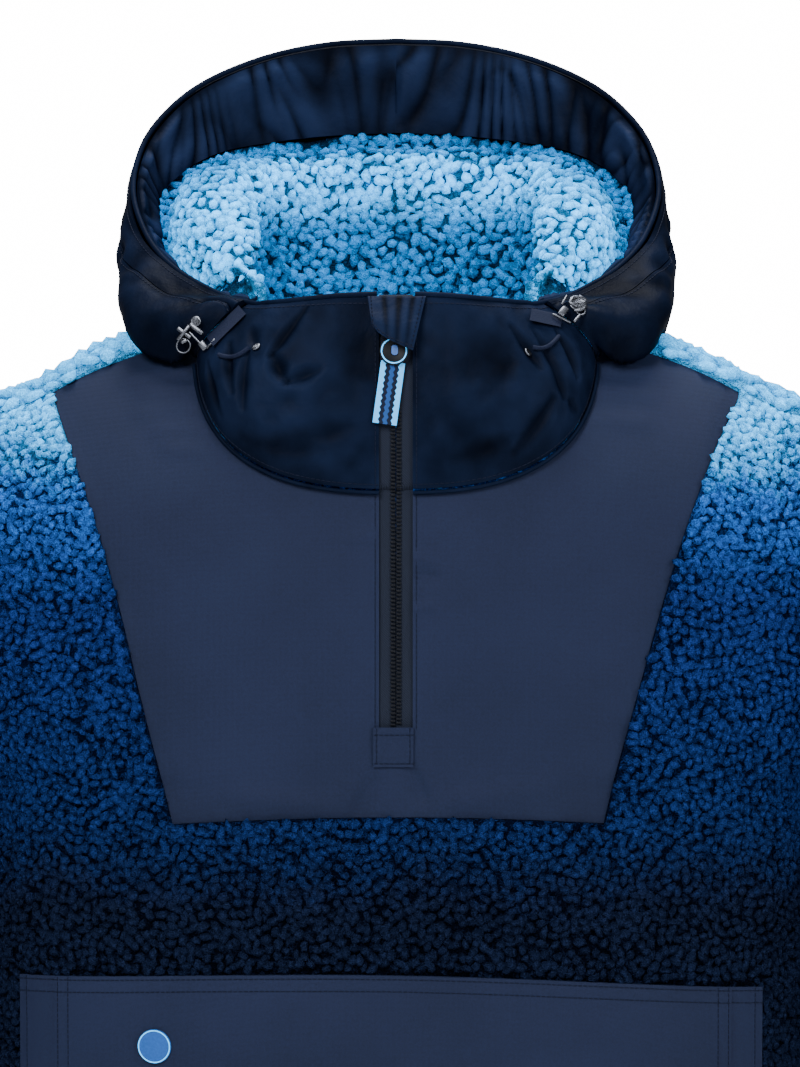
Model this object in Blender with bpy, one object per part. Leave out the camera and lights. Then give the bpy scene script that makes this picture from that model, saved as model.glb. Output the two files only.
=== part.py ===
"""A pile fleece pullover with a padded hood and a half zip, hollow as when it is worn.

Metres, +Z up. The front faces -Y, and left and right are the viewer's, facing the front. The origin lies
between the shoulders, where a wearer's neck and shoulders hold the garment. Every panel is a thin wall: a
grid of points on the side that shows, thickened along the cloth's own normals.
"""

import math

import bmesh
import bpy
import numpy as np
from mathutils import Matrix, Vector
from mathutils.bvhtree import BVHTree

SEAM_GAP = 0.0003

# Body, worked out on a flattened tube
HEM_HEIGHT = -0.690
UNDERARM_HEIGHT = -0.250
ARMHOLE_X = 0.246
SHOULDER_ARCH = 0.100  # height over which the shoulders round over, front to back
SIDE_ROUNDNESS = 2.6
ARMHOLE_FULLNESS = 0.62  # armhole's half-depth, as a share of the body's
FLEECE_WALL = 0.0045
FLEECE_PROUD = 0.0025  # how far the pile stands out past the woven cloth
WOVEN_WALL = 0.0016

# Neck seam, a superellipse on the body
NECK_HALF_WIDTH = 0.118
NECK_FRONT_DROP = 0.086
NECK_SIDE_HEIGHT = 0.008
NECK_ROUNDNESS = 2.6
NECK_BACK_ARCH = math.radians(45.0)
YOKE_SEAM_DROP = 0.008  # the shoulder seam lies this far below the ridge, on the front
SEAM_ARCH = math.acos(1.0 - YOKE_SEAM_DROP / SHOULDER_ARCH)

# Yoke and zip
YOKE_BOTTOM = -0.2735  # at its corners; it bows up a little towards the middle
YOKE_BOW = 0.0053
YOKE_HALF_BOTTOM = 0.130
YOKE_CORNER_X = 0.206
ZIP_HALF_WIDTH = 0.0098
ZIP_END_HEIGHT = -0.217
COLLAR_WALL = 0.007
SHELL_WALL = 0.0024
LINING_TROUGH = 0.004
ROLL_CLEAR = 0.0070  # between the fat fold and the facing's edge
LINING_DROP = 0.0045  # from the facing's edge to the lining's
FACING_WALL = 0.0012
LINING_WALL = 0.0040
PIPING_RADIUS = 0.0017
NECK_PIPING_RADIUS = 0.0012
NECK_PIPING_DROP = 0.0019  # below the collar's seam, along the yoke
NECK_PIPING_LIFT = -0.0004
SHELL_SEAM = 0.0042  # the height of the shell's lower edge above the body
SHELL_REST = 0.0060  # the least height of the shell's line above the body
SHELL_CLEAR = 0.0006  # from the rim's line out to the shell, and in to the facing
RIM_GAP = 0.0012  # between the rim piping and what is sewn to it
GATHERS_A_SIDE = 26
GATHER_DEPTH = 0.0016
BAND_SHARE = 0.17  # the rim band's part of the way from the rim to the neck seam
BAND_ROWS = 2
BACK_NECK_GAP = 0.0025  # from the neck seam to the lining, behind the collar's ends
TURN_REACH = 0.0019  # metres along the collar to a degree of turn
RISE_REACH = 0.115  # metres from the neck seam to the collar's top edge

# Sleeves
SLEEVE_FLOOR = 0.012  # the underarm fold's radius
CUFF_HEIGHT = -0.612

# Pocket
POCKET_TOP = -0.360
POCKET_BOTTOM = -0.592
POCKET_SAG = 0.0115  # how far the pocket's upper corners lie below its middle
POCKET_TILT = 0.0037
POCKET_HALF = 0.220
POCKET_LIFT = 0.0010

# Round pull, hung at the zip's top
HINGE_X = -0.0011
HINGE_HEIGHT = 0.0095
SLIDER_HEIGHT = 0.0145
PULL_FOOT = -0.0410
PULL_CLEAR = 0.0010
RIBBON_THICK = 0.0009
DISC_THICK = 0.0022
FLAP_WALL = 0.0014
FLAP_TOP = 0.0335

# Adjusters, and other small pieces laid on the cloth
PERCH_CLEAR = 0.0004
PERCH_LIMIT = -0.030  # what lies behind this isn't the surface that a plate rests on
CORD_RADIUS = 0.0013
TAB_WIDTH = 0.0065
TAB_THICK = 0.0016
TAB_CLEAR = 0.0013
DISC_RADIUS = 0.0084
DISC_DROP = 0.0073  # from the hinge to the disc's middle
RIBBON_WIDTH = 0.0140
RIBBON_LENGTH = 0.0370
RIBBON_LEAN = math.radians(8.0)
RIBBON_X = -0.0030  # its middle, from the hinge
RIBBON_DROP = 0.0320
ZIP_TOP = 0.034
TAPE_SUNK = 0.0022
TAPE_THICK = 0.0011
PATCH_LEFT = -0.0132
PATCH_RIGHT = 0.0102
PATCH_PROUD = 0.0016
PATCH_THICK = 0.0012
BUCKLE = 0.0150
BUCKLE_THICK = 0.0036
BUCKLE_SLOT = (0.0090, 0.0040)
EYELET_RADIUS = 0.0030
EYELET_THICK = 0.0016
CORD_SAG = 0.0030
CORD_CLEAR = 0.0012
BADGE_X = -0.1411
BADGE_HEIGHT = -0.4034
BADGE_RADIUS = 0.0105
BADGE_THICK = 0.0012


def table(columns, *rows):
    """A short table whose first column is the key. Each column is read by its name."""
    return {name: np.array(values, float) for name, values in zip(columns.split(), zip(*rows))}


def read(rows, column, at):
    """The column's value at a key, on a smooth curve through the rows."""
    keys, values = next(iter(rows.values())), rows[column]
    slopes = np.gradient(values, keys)
    at = np.clip(at, keys[0], keys[-1])
    row = np.clip(np.searchsorted(keys, at, side="right") - 1, 0, len(keys) - 2)
    span = keys[row + 1] - keys[row]
    t = (at - keys[row]) / span
    return (
        (1 + 2 * t) * (1 - t) ** 2 * values[row]
        + t * (1 - t) ** 2 * span * slopes[row]
        + t * t * (3 - 2 * t) * values[row + 1]
        + t * t * (t - 1) * span * slopes[row + 1]
    )


def read_point(rows, prefix, at):
    return np.array([read(rows, prefix + axis, at) for axis in "xyz"])


BODY = table(
    "height half_width front back",
    (-0.690, 0.237, 0.120, 0.110),
    (-0.600, 0.244, 0.130, 0.116),
    (-0.450, 0.249, 0.134, 0.118),
    (-0.300, 0.247, 0.133, 0.118),
    (-0.250, 0.246, 0.132, 0.118),
    (-0.180, 0.246, 0.128, 0.116),
    (-0.100, 0.246, 0.118, 0.112),
    (-0.050, 0.246, 0.103, 0.101),
    (0.000, 0.246, 0.087, 0.087),
    (0.045, 0.246, 0.078, 0.080),
)

SHOULDER = table(
    "x height",
    (0.000, 0.0450),
    (0.060, 0.0360),
    (0.118, 0.0165),
    (0.156, 0.0055),
    (0.182, -0.0045),
    (0.217, -0.0225),
    (0.246, -0.0355),
)

YOKE_SIDE = table(
    "height left right",
    (-0.2735, 0.1311, 0.1219),
    (-0.2430, 0.1386, 0.1292),
    (-0.1990, 0.1497, 0.1412),
    (-0.1450, 0.1628, 0.1565),
    (-0.0945, 0.1779, 0.1730),
    (-0.0540, 0.1937, 0.1900),
    (-0.0270, 0.2050, 0.2054),
)

# The hood's open edge, from the zip round to the middle of the back. The key is the turn round the neck.
RIM = table(
    "turn x y z",
    (2.0, 0.0100, -0.0860, 0.0346),
    (24.0, 0.0340, -0.0850, 0.0335),
    (48.0, 0.0600, -0.0780, 0.0305),
    (70.0, 0.0765, -0.0670, 0.0285),
    (83.6, 0.0855, -0.0580, 0.0280),
    (90.0, 0.0975, -0.0450, 0.0300),
    (97.0, 0.1115, -0.0280, 0.0350),
    (105.0, 0.1335, -0.0020, 0.0469),
    (114.0, 0.1505, 0.0260, 0.0650),
    (123.0, 0.1600, 0.0580, 0.0906),
    (132.0, 0.1555, 0.0830, 0.1170),
    (142.0, 0.1390, 0.1050, 0.1400),
    (152.0, 0.1150, 0.1245, 0.1575),
    (162.0, 0.0780, 0.1430, 0.1720),
    (171.0, 0.0400, 0.1510, 0.1794),
    (180.0, 0.0000, 0.1540, 0.1813),
)

# The shell rests on the shoulder, hangs to its low line, and swells to its wide line below the rim.
SHELL = table(
    "turn rest_x rest_y rest_z low_x low_y low_z wide_x wide_y wide_z",
    (83.6, 0.1200, -0.0660, 0.0000, 0.1150, -0.0690, 0.0120, 0.1040, -0.0670, 0.0220),
    (90.0, 0.1260, -0.0520, 0.0020, 0.1290, -0.0600, -0.0045, 0.1280, -0.0560, 0.0180),
    (97.5, 0.1310, -0.0330, 0.0130, 0.1440, -0.0480, -0.0030, 0.1510, -0.0400, 0.0200),
    (112.5, 0.1380, 0.0080, 0.0160, 0.1560, -0.0020, 0.0070, 0.1625, 0.0120, 0.0420),
    (127.5, 0.1300, 0.0450, 0.0100, 0.1540, 0.0600, -0.0030, 0.1640, 0.0650, 0.0450),
    (142.5, 0.1020, 0.0750, 0.0020, 0.1300, 0.1180, -0.0260, 0.1500, 0.1400, 0.0420),
    (157.5, 0.0600, 0.0880, 0.0000, 0.0800, 0.1480, -0.0430, 0.0950, 0.1860, 0.0420),
    (180.0, 0.0000, 0.0960, -0.0020, 0.0000, 0.1560, -0.0500, 0.0000, 0.2060, 0.0420),
)

# The lower edge of the gathered facing inside the rim, where the pile lining starts.
FACING = table(
    "turn x y z",
    (83.6, 0.0815, -0.0525, 0.0245),
    (90.0, 0.0935, -0.0380, 0.0245),
    (97.5, 0.1085, -0.0180, 0.0260),
    (105.0, 0.1265, 0.0040, 0.0335),
    (114.0, 0.1420, 0.0300, 0.0460),
    (123.0, 0.1475, 0.0560, 0.0680),
    (132.0, 0.1465, 0.0800, 0.0900),
    (142.0, 0.1300, 0.1020, 0.1070),
    (152.0, 0.1075, 0.1205, 0.1170),
    (162.0, 0.0750, 0.1360, 0.1225),
    (171.0, 0.0380, 0.1440, 0.1262),
    (180.0, 0.0000, 0.1465, 0.1279),
)

# The crest of the lining's fat fold, and the fold's radius.
ROLL = table(
    "turn x y z radius",
    (2.0, 0.0100, -0.0730, 0.0330, 0.0030),
    (48.0, 0.0520, -0.0650, 0.0300, 0.0040),
    (70.0, 0.0690, -0.0530, 0.0300, 0.0070),
    (83.6, 0.0770, -0.0400, 0.0370, 0.0120),
    (97.5, 0.0930, -0.0130, 0.0560, 0.0190),
    (114.0, 0.1070, 0.0240, 0.0885, 0.0235),
    (123.0, 0.1080, 0.0480, 0.1015, 0.0250),
    (132.0, 0.1000, 0.0690, 0.1095, 0.0260),
    (142.0, 0.0820, 0.0860, 0.1120, 0.0260),
    (152.0, 0.0600, 0.0970, 0.1135, 0.0260),
    (180.0, 0.0000, 0.1060, 0.1139, 0.0260),
)

# How far the groove between the facing and the fat fold sinks below the facing's edge.
TROUGH = table(
    "turn drop",
    (83.6, 0.003),
    (105.0, 0.003),
    (123.0, 0.008),
    (142.0, 0.016),
    (180.0, 0.020),
)

# The flap over the zip's top, column by column: where each starts at the rim and where it ends.
FLAP = table(
    "top_x foot_x foot_z",
    (-0.0165, -0.0142, 0.0185),
    (-0.0090, -0.0105, 0.0134),
    (-0.0010, -0.0045, 0.0093),
    (0.0090, 0.0025, 0.0062),
    (0.0175, 0.0100, 0.0029),
)
# How far the flap stands off the collar, by the share of the way down it.
FLAP_LIFTS = table(
    "share lift",
    (0.00, 0.0010),
    (0.35, 0.0038),
    (0.70, 0.0075),
    (1.00, 0.0084),
)

SLEEVE = table(
    "height inner outer front back",
    (-0.612, 0.3000, 0.3730, 0.0600, 0.0150),
    (-0.580, 0.2930, 0.3790, 0.0650, 0.0240),
    (-0.520, 0.2820, 0.3900, 0.0710, 0.0400),
    (-0.430, 0.2730, 0.4000, 0.0740, 0.0570),
    (-0.350, 0.2650, 0.4010, 0.0750, 0.0690),
    (-0.262, 0.2583, 0.3960, 0.0760, 0.0760),
)

# How far the shoulder's cap stands from the underarm, by the angle it has turned towards hanging.
CAP = table(
    "angle reach",
    (0.0, 0.225),
    (20.0, 0.213),
    (45.0, 0.182),
    (70.0, 0.160),
    (90.0, 0.150),
)

# Soft folds of the body: where the fold's middle lies, the way it runs, its length, its width and its rise.
BODY_FOLDS = (
    {"x": -0.205, "z": -0.285, "lean": 62, "length": 0.110, "width": 0.022, "rise": 0.005},
    {"x": 0.207, "z": -0.292, "lean": -60, "length": 0.120, "width": 0.022, "rise": 0.005},
    {"x": -0.165, "z": -0.640, "lean": 84, "length": 0.120, "width": 0.030, "rise": 0.006},
    {"x": -0.060, "z": -0.665, "lean": 95, "length": 0.080, "width": 0.030, "rise": -0.005},
    {"x": 0.055, "z": -0.655, "lean": 88, "length": 0.100, "width": 0.030, "rise": 0.005},
    {"x": 0.160, "z": -0.640, "lean": 96, "length": 0.120, "width": 0.030, "rise": -0.006},
)

# Transverse folds of the sleeve, worn in at the elbow and above the cuff.
SLEEVE_FOLDS = table(
    "height rise",
    (-0.612, 0.000),
    (-0.590, 0.003),
    (-0.570, -0.003),
    (-0.545, 0.003),
    (-0.500, 0.000),
    (-0.455, -0.003),
    (-0.430, 0.004),
    (-0.405, -0.003),
    (-0.375, 0.003),
    (-0.330, 0.000),
)

# Deep creases of the padded collar: the turn and the rise (0 seam, 1 top) where each one starts and ends.
COLLAR_CREASES = (
    {"side": -1, "turn": 38, "rise": 0.86, "to_turn": 41, "to_rise": 0.66, "width": 0.007, "depth": 0.0045},
    {"side": -1, "turn": 41, "rise": 0.66, "to_turn": 24, "to_rise": 0.60, "width": 0.006, "depth": 0.0050},
    {"side": -1, "turn": 60, "rise": 0.55, "to_turn": 47, "to_rise": 0.30, "width": 0.008, "depth": 0.0050},
    {"side": -1, "turn": 44, "rise": 0.16, "to_turn": 10, "to_rise": 0.22, "width": 0.008, "depth": 0.0030},
    {"side": 1, "turn": 45, "rise": 0.70, "to_turn": 50, "to_rise": 0.28, "width": 0.008, "depth": 0.0045},
    {"side": 1, "turn": 34, "rise": 0.52, "to_turn": 12, "to_rise": 0.22, "width": 0.009, "depth": 0.0040},
    {"side": 1, "turn": 66, "rise": 0.60, "to_turn": 58, "to_rise": 0.25, "width": 0.008, "depth": 0.0045},
)

POCKET_PANELS = (
    {"name": "pocket_side_left", "start": -0.2206, "end": -0.1988, "steps": 4, "thick": 0.0018},
    {"name": "pocket_front", "start": -0.1988, "end": 0.1955, "steps": 20, "thick": 0.0032},
    {"name": "pocket_side_right", "start": 0.1955, "end": 0.2148, "steps": 4, "thick": 0.0018},
)

# (x, z) on each side of the hood: both ends of the tab and the cord, and the buckle's and eyelet's middles
ADJUSTERS = (
    {
        "word": "left",
        "tab": ((-0.0905, 0.0245), (-0.1040, 0.0125)),
        "buckle": (-0.1156, 0.0071),
        "lean": 38.0,
        "cord": ((-0.1040, -0.0010), (-0.0860, 0.0034)),
        "eye": (-0.0813, 0.0034),
    },
    {
        "word": "right",
        "tab": ((0.0790, 0.0215), (0.0900, 0.0190)),
        "buckle": (0.1010, 0.0215),
        "lean": -62.0,
        "cord": ((0.0955, 0.0095), (0.0800, 0.0040)),
        "eye": (0.0767, 0.0005),
    },
)

# Rows and columns of the panels' meshes, crowded where the cloth turns
FRONT_TURNS = (2.26, 12.0, 24.0, 36.0, 48.0, 60.0, 70.0, 77.5, 83.6, 90.0)
COLLAR_END = 83.6
HOOD_TURNS = (COLLAR_END, 90.0) + tuple(90.0 + 7.5 * step for step in range(1, 13))
SHOULDER_STOPS = (0.118, 0.140, 0.162, 0.184, YOKE_CORNER_X)
SIDE_STEPS = 4
UPPER_ROWS = (0.0, 0.10, 0.21, 0.33, 0.45, 0.57, 0.69, 0.808, 0.94, 1.0)
LOWER_HEIGHTS = (YOKE_BOTTOM, POCKET_TOP, -0.440, -0.510, POCKET_BOTTOM, -0.645, HEM_HEIGHT)
BACK_SHARES = (0.06, 0.19, 0.40, 0.70)
ARCH_SHARES = (0.25, 0.50, 0.75, 1.00)
COLLAR_SHARES = np.linspace(1.0, 0.0, 10)
INSIDE_SHARES = (0.96, 0.70, 0.45, 0.20, 0.02)
SHELL_SHARES = (0.0, 0.085, BAND_SHARE, 0.28, 0.40, 0.52, 0.63, 0.74, 0.87, 1.0)
LINING_TURNS = (2.6, 14.0, 28.0, 42.0, 56.0, 68.0, 77.0, 84.0)
LINING_SHARES = np.linspace(0.0, 1.0, 13)
CAP_ANGLES = (0.0, 10.0, 22.0, 34.0, 46.0, 58.0, 69.0, 80.0, 90.0)
SLEEVE_HEIGHTS = (-0.300, -0.335, -0.375, -0.405, -0.430, -0.455, -0.500, -0.545, -0.570, -0.590)

# Colours in linear light, with roughness and how metallic each finish is
FINISHES = {
    "fleece": ((0.020, 0.100, 0.300, 1.0), 0.95, 0.0),
    "lining_fleece": ((0.340, 0.640, 0.870, 1.0), 0.95, 0.0),
    "woven_navy": ((0.018, 0.031, 0.075, 1.0), 0.75, 0.0),
    "padded_navy": ((0.008, 0.016, 0.044, 1.0), 0.42, 0.0),
    "zip_tape": ((0.012, 0.014, 0.018, 1.0), 0.80, 0.0),
    "gunmetal": ((0.200, 0.210, 0.230, 1.0), 0.35, 1.0),
    "pull_rubber": ((0.030, 0.035, 0.050, 1.0), 0.50, 0.0),
    "ribbon": ((0.340, 0.640, 0.870, 1.0), 0.80, 0.0),
    "webbing": ((0.010, 0.014, 0.030, 1.0), 0.80, 0.0),
    "badge": ((0.110, 0.300, 0.560, 1.0), 0.50, 0.0),
}


def material(finish):
    """The finish's material, made once."""
    found = bpy.data.materials.get(finish)
    if found:
        return found
    made = bpy.data.materials.new(finish)
    made.use_nodes = True
    shader = made.node_tree.nodes["Principled BSDF"]
    colour, roughness, metallic = FINISHES[finish]
    shader.inputs["Base Color"].default_value = colour
    shader.inputs["Roughness"].default_value = roughness
    shader.inputs["Metallic"].default_value = metallic
    made.diffuse_color = colour
    return made


def add_object(name, bm, finish):
    """Turns a finished bmesh into a smooth shaded object."""
    bmesh.ops.recalc_face_normals(bm, faces=bm.faces)
    mesh = bpy.data.meshes.new(name)
    bm.to_mesh(mesh)
    bm.free()
    mesh.shade_smooth()
    mesh.set_sharp_from_angle(angle=math.radians(50.0))
    mesh.materials.append(material(finish))
    made = bpy.data.objects.new(name, mesh)
    bpy.context.scene.collection.objects.link(made)
    return made


def unit(vectors):
    return vectors / np.maximum(np.linalg.norm(vectors, axis=-1, keepdims=True), 1e-12)


def grid_normals(points, closed=False):
    """Normals of a grid (rows, columns, 3), to the left of its rows as the columns run on."""
    down = np.gradient(points, axis=0)
    if closed:
        along = np.roll(points, -1, axis=1) - np.roll(points, 1, axis=1)
    else:
        along = np.gradient(points, axis=1)
    return unit(np.cross(along, down))


def wall(name, shown, hidden, finish, cells=None, closed=False):
    """A closed thin wall between two grids of points: the side that shows and the hidden side."""
    rows, columns = shown.shape[:2]
    bm = bmesh.new()
    home = bm.verts.layers.int.new("home")
    verts = {}

    def vertex(row, column):
        key = row * columns + column % columns
        if key not in verts:
            verts[key] = bm.verts.new(shown[row, column % columns])
            verts[key][home] = key
        return verts[key]

    for row in range(rows - 1):
        for column in range(columns if closed else columns - 1):
            if cells is not None and not cells(row, column):
                continue
            bm.faces.new(
                (
                    vertex(row, column),
                    vertex(row, column + 1),
                    vertex(row + 1, column + 1),
                    vertex(row + 1, column),
                )
            )
    back = bmesh.ops.extrude_face_region(bm, geom=bm.faces[:], use_keep_orig=True)
    flat = hidden.reshape(-1, 3)
    for item in back["geom"]:
        if isinstance(item, bmesh.types.BMVert):
            item.co = flat[item[home]]
    return add_object(name, bm, finish)


def drawn_in(points, gap, top=False, bottom=False, left=False, right=False):
    """The grid with the named edges drawn in by the gap, along its own rows or columns."""
    made = points.copy()
    if top:
        made[0] += gap * unit(points[1] - points[0])
    if bottom:
        made[-1] += gap * unit(points[-2] - points[-1])
    if left:
        made[:, 0] += gap * unit(points[:, 1] - points[:, 0])
    if right:
        made[:, -1] += gap * unit(points[:, -2] - points[:, -1])
    return made


def tube(name, path, radius, finish, closed=False):
    """A thin round cord or piping along a line of points."""
    curve = bpy.data.curves.new(name, "CURVE")
    curve.dimensions = "3D"
    curve.bevel_depth = radius
    curve.bevel_resolution = 1
    curve.use_fill_caps = not closed
    spline = curve.splines.new("POLY")
    spline.points.add(len(path) - 1)
    for point, place in zip(spline.points, path):
        point.co = (*place, 1.0)
    spline.use_cyclic_u = closed
    curve.materials.append(material(finish))
    made = bpy.data.objects.new(name, curve)
    bpy.context.scene.collection.objects.link(made)
    return made


def block(name, size, finish, slot=None):
    """A small plate about its own middle, width by thickness by height, with a slot through it if given."""
    bm = bmesh.new()
    bmesh.ops.create_cube(bm, size=1.0)
    bmesh.ops.scale(bm, verts=bm.verts, vec=size)
    if slot:
        faces = [face for face in bm.faces if abs(face.normal.y) > 0.5]
        bmesh.ops.inset_individual(bm, faces=faces, thickness=min(size[0], size[2]) * 0.1)
        for face in faces:
            for vert in face.verts:
                vert.co.x = math.copysign(slot[0] / 2, vert.co.x)
                vert.co.z = math.copysign(slot[1] / 2, vert.co.z)
        bmesh.ops.bridge_loops(bm, edges=[edge for face in faces for edge in face.edges])
        bmesh.ops.delete(bm, geom=faces, context="FACES_ONLY")
    return add_object(name, bm, finish)


def disc(name, radius, thick, finish, steps=20):
    """A round plate about its own middle that faces the viewer."""
    bm = bmesh.new()
    sizes = {"radius1": radius, "radius2": radius * 0.94, "depth": thick}
    bmesh.ops.create_cone(bm, cap_ends=True, segments=steps, **sizes)
    bmesh.ops.rotate(bm, verts=bm.verts, matrix=Matrix.Rotation(math.radians(90.0), 3, "X"))
    return add_object(name, bm, finish)


# The body's surface


def ridge(x):
    return read(SHOULDER, "height", np.abs(x))


def fullness(x, z):
    """The body's depth at x as a share of its middle depth: 0 at a side seam, more at the armhole."""
    across = np.clip(np.abs(x) / read(BODY, "half_width", z), 0.0, 1.0)
    above = np.clip((z - UNDERARM_HEIGHT) / 0.10, 0.0, 1.0)
    kept = ARMHOLE_FULLNESS * np.sqrt(1.0 - (1.0 - above) ** 2)
    power = 1.0 / SIDE_ROUNDNESS + 0.45 * above
    rounded = np.maximum(1.0 - across**SIDE_ROUNDNESS, 0.0) ** power
    return kept + (1.0 - kept) * rounded


def body_y(x, z, side):
    """The surface's y at (x, z). Side is -1 on the front and 1 on the back."""
    drop = np.clip((ridge(x) - z) / SHOULDER_ARCH, 0.0, 1.0)
    arch = np.sqrt(1.0 - (1.0 - drop) ** 2)
    return side * arch * fullness(x, z) * read(BODY, "front" if side < 0 else "back", z)


def level(x, y, z):
    """A field that is 1 on the body's surface and grows outwards."""
    depth = np.where(y < 0, read(BODY, "front", z), read(BODY, "back", z)) * fullness(x, z)
    rise = np.maximum(z - ridge(x) + SHOULDER_ARCH, 0.0) / SHOULDER_ARCH
    return (y / np.maximum(depth, 1e-4)) ** 2 + rise**2


def body_normals(points):
    """Outward normals of the body: sideways at a side seam, and in the armhole's plane at the armhole."""
    x, y, z = np.moveaxis(points, -1, 0)
    step = 1e-5
    normals = unit(
        np.stack(
            [
                level(x + step, y, z) - level(x - step, y, z),
                level(x, y + step, z) - level(x, y - step, z),
                level(x, y, z + step) - level(x, y, z - step),
            ],
            axis=-1,
        )
    )
    at_edge = np.abs(x) > read(BODY, "half_width", z) - 1e-6
    sideways = np.stack([np.sign(x), np.zeros_like(x), np.zeros_like(x)], axis=-1)
    inner_x = np.sign(x) * (np.abs(x) - 0.002)
    slope = np.stack(
        [
            np.zeros_like(x),
            level(inner_x, y + step, z) - level(inner_x, y - step, z),
            level(inner_x, y, z + step) - level(inner_x, y, z - step),
        ],
        axis=-1,
    )
    low = (z <= UNDERARM_HEIGHT + 1e-6)[..., None]
    return np.where(at_edge[..., None], np.where(low, sideways, unit(slope)), normals)


def fold_rise(points):
    """How far the body's soft folds lift each point of the front."""
    total = np.zeros(points.shape[:-1])
    for fold in BODY_FOLDS:
        lean = math.radians(fold["lean"])
        dx, dz = points[..., 0] - fold["x"], points[..., 2] - fold["z"]
        along = (dx * math.cos(lean) + dz * math.sin(lean)) / (fold["length"] / 2)
        across = (dz * math.cos(lean) - dx * math.sin(lean)) / fold["width"]
        total += fold["rise"] * np.exp(-(along**2)) * np.exp(-(across**2))
    return total


def neck_point(turn):
    """The neck seam on the body: turn is 0 at the middle of the front and 180 at the middle of the back."""
    tau = math.radians(turn)
    x = NECK_HALF_WIDTH * math.sin(min(tau, math.pi)) ** (2 / NECK_ROUNDNESS)
    share = abs(math.cos(tau)) ** (2 / NECK_ROUNDNESS)
    if turn <= 90.0:
        z = NECK_SIDE_HEIGHT - NECK_FRONT_DROP * share
        return np.array([x, float(body_y(x, z, -1)), z])
    arch = -SEAM_ARCH + (NECK_BACK_ARCH + SEAM_ARCH) * share
    return arch_point(x, arch)


def arch_point(x, arch):
    """A point where the body rounds over the shoulders: arch is negative in front and 0 on the ridge."""
    z = float(ridge(x)) - SHOULDER_ARCH * (1.0 - math.cos(arch))
    depth = read(BODY, "front" if arch < 0 else "back", z)
    deep = float(depth) * float(fullness(x, z))
    return np.array([x, math.sin(arch) * deep, z])


def body_top(x, y):
    """The height of the body's surface over the shoulders at (x, y), or None past its front or back."""
    arches = np.linspace(0.0, math.pi / 2, 46)
    heights = ridge(x) - SHOULDER_ARCH * (1.0 - np.cos(arches))
    deep = np.sin(arches) * read(BODY, "front" if y < 0 else "back", heights) * fullness(x, heights)
    return float(np.interp(abs(y), deep, heights)) if abs(y) < deep[-1] else None


def seam_point(x):
    """A point of the shoulder seam, on the front just below the ridge."""
    z = float(ridge(x)) - YOKE_SEAM_DROP
    return np.array([x, float(body_y(x, z, -1)), z])


def side_stops():
    """The columns from the yoke's corner to the armhole, crowded where the cloth turns."""
    start = math.asin(YOKE_CORNER_X / ARMHOLE_X)
    turns = np.linspace(start, math.pi / 2, SIDE_STEPS + 1)
    return ARMHOLE_X * np.sin(turns)


def front_surface(xz):
    """Points of the front at these (x, z)."""
    x, z = xz[..., 0], xz[..., 1]
    return np.stack([x, body_y(x, z, -1), z], axis=-1)


def yoke_bottom(x):
    """The height of the yoke's lower seam at x."""
    return YOKE_BOTTOM + YOKE_BOW * np.maximum(1.0 - (x / YOKE_HALF_BOTTOM) ** 2, 0.0)


def yoke_side_x(side, z):
    return read(YOKE_SIDE, "left" if side < 0 else "right", z)


def yoke_half_columns(side):
    """(x, z) of the yoke's half as columns from its side seam to the zip, top to bottom."""
    tops = [seam_point(x)[[0, 2]] for x in SHOULDER_STOPS[::-1]]
    tops += [neck_point(turn)[[0, 2]] for turn in FRONT_TURNS[-2::-1]]
    tops = np.array(tops)
    shares = np.linspace(0.0, 1.0, len(tops))
    corner = float(yoke_side_x(side, YOKE_BOTTOM))
    bottoms = corner + (ZIP_HALF_WIDTH - corner) * shares
    heights = tops[:, 1, None] + (UNDERARM_HEIGHT - tops[:, 1, None]) * np.array(UPPER_ROWS)
    heights = np.concatenate([heights, np.full((len(tops), 1), YOKE_BOTTOM)], axis=1)
    down = (heights - tops[:, 1, None]) / (YOKE_BOTTOM - tops[:, 1, None])
    across = tops[:, 0, None] + (bottoms - tops[:, 0])[:, None] * down
    straight = YOKE_CORNER_X + (corner - YOKE_CORNER_X) * down[0]
    bow = yoke_side_x(side, heights[0]) - straight
    bow[0] = bow[-1] = 0.0
    across = across + (1.0 - shares)[:, None] ** 2 * bow
    heights[:, -1] = yoke_bottom(across[:, -1])
    return np.stack([side * across, heights], axis=-1)


def strip_columns(side):
    """(x, z) of the front fleece beside the yoke, as columns from the armhole to the yoke's side seam."""
    yoke_edge = yoke_half_columns(side)[0]
    stops = side_stops()[::-1]
    columns = []
    for index, stop in enumerate(stops):
        share = 1.0 - index / SIDE_STEPS
        top = float(ridge(stop)) - YOKE_SEAM_DROP
        heights = top + (UNDERARM_HEIGHT - top) * np.array(UPPER_ROWS)
        heights = np.append(heights, YOKE_BOTTOM)
        half = read(BODY, "half_width", heights)
        start = np.arcsin(np.clip(np.abs(yoke_edge[:, 0]) / half, 0, 1))
        across = half * np.sin(start + (math.pi / 2 - start) * share)
        columns.append(np.stack([side * across, heights], axis=-1))
    columns[-1] = yoke_edge
    return np.array(columns)


def lower_columns():
    """(x, z) of the front fleece below the yoke, as columns from left to right, top to bottom."""
    halves = []
    for side in (-1, 1):
        edge = abs(yoke_half_columns(side)[0, -1, 0])
        inner = np.abs(yoke_half_columns(side)[:, -1, 0])
        columns = []
        heights = np.array(LOWER_HEIGHTS)
        half = read(BODY, "half_width", heights)
        top_half = half[0]
        start = math.asin(edge / top_half)
        for index in range(SIDE_STEPS):
            share = 1.0 - index / SIDE_STEPS
            columns.append(half * math.sin(start + (math.pi / 2 - start) * share))
        for stop in inner:
            columns.append(half * stop / top_half)
        columns = np.stack([side * np.array(columns), np.tile(heights, (len(columns), 1))], axis=-1)
        halves.append(columns if side < 0 else columns[::-1])
    made = np.concatenate(halves)
    made[:, 0, 1] = yoke_bottom(made[:, 0, 0])
    return made


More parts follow.
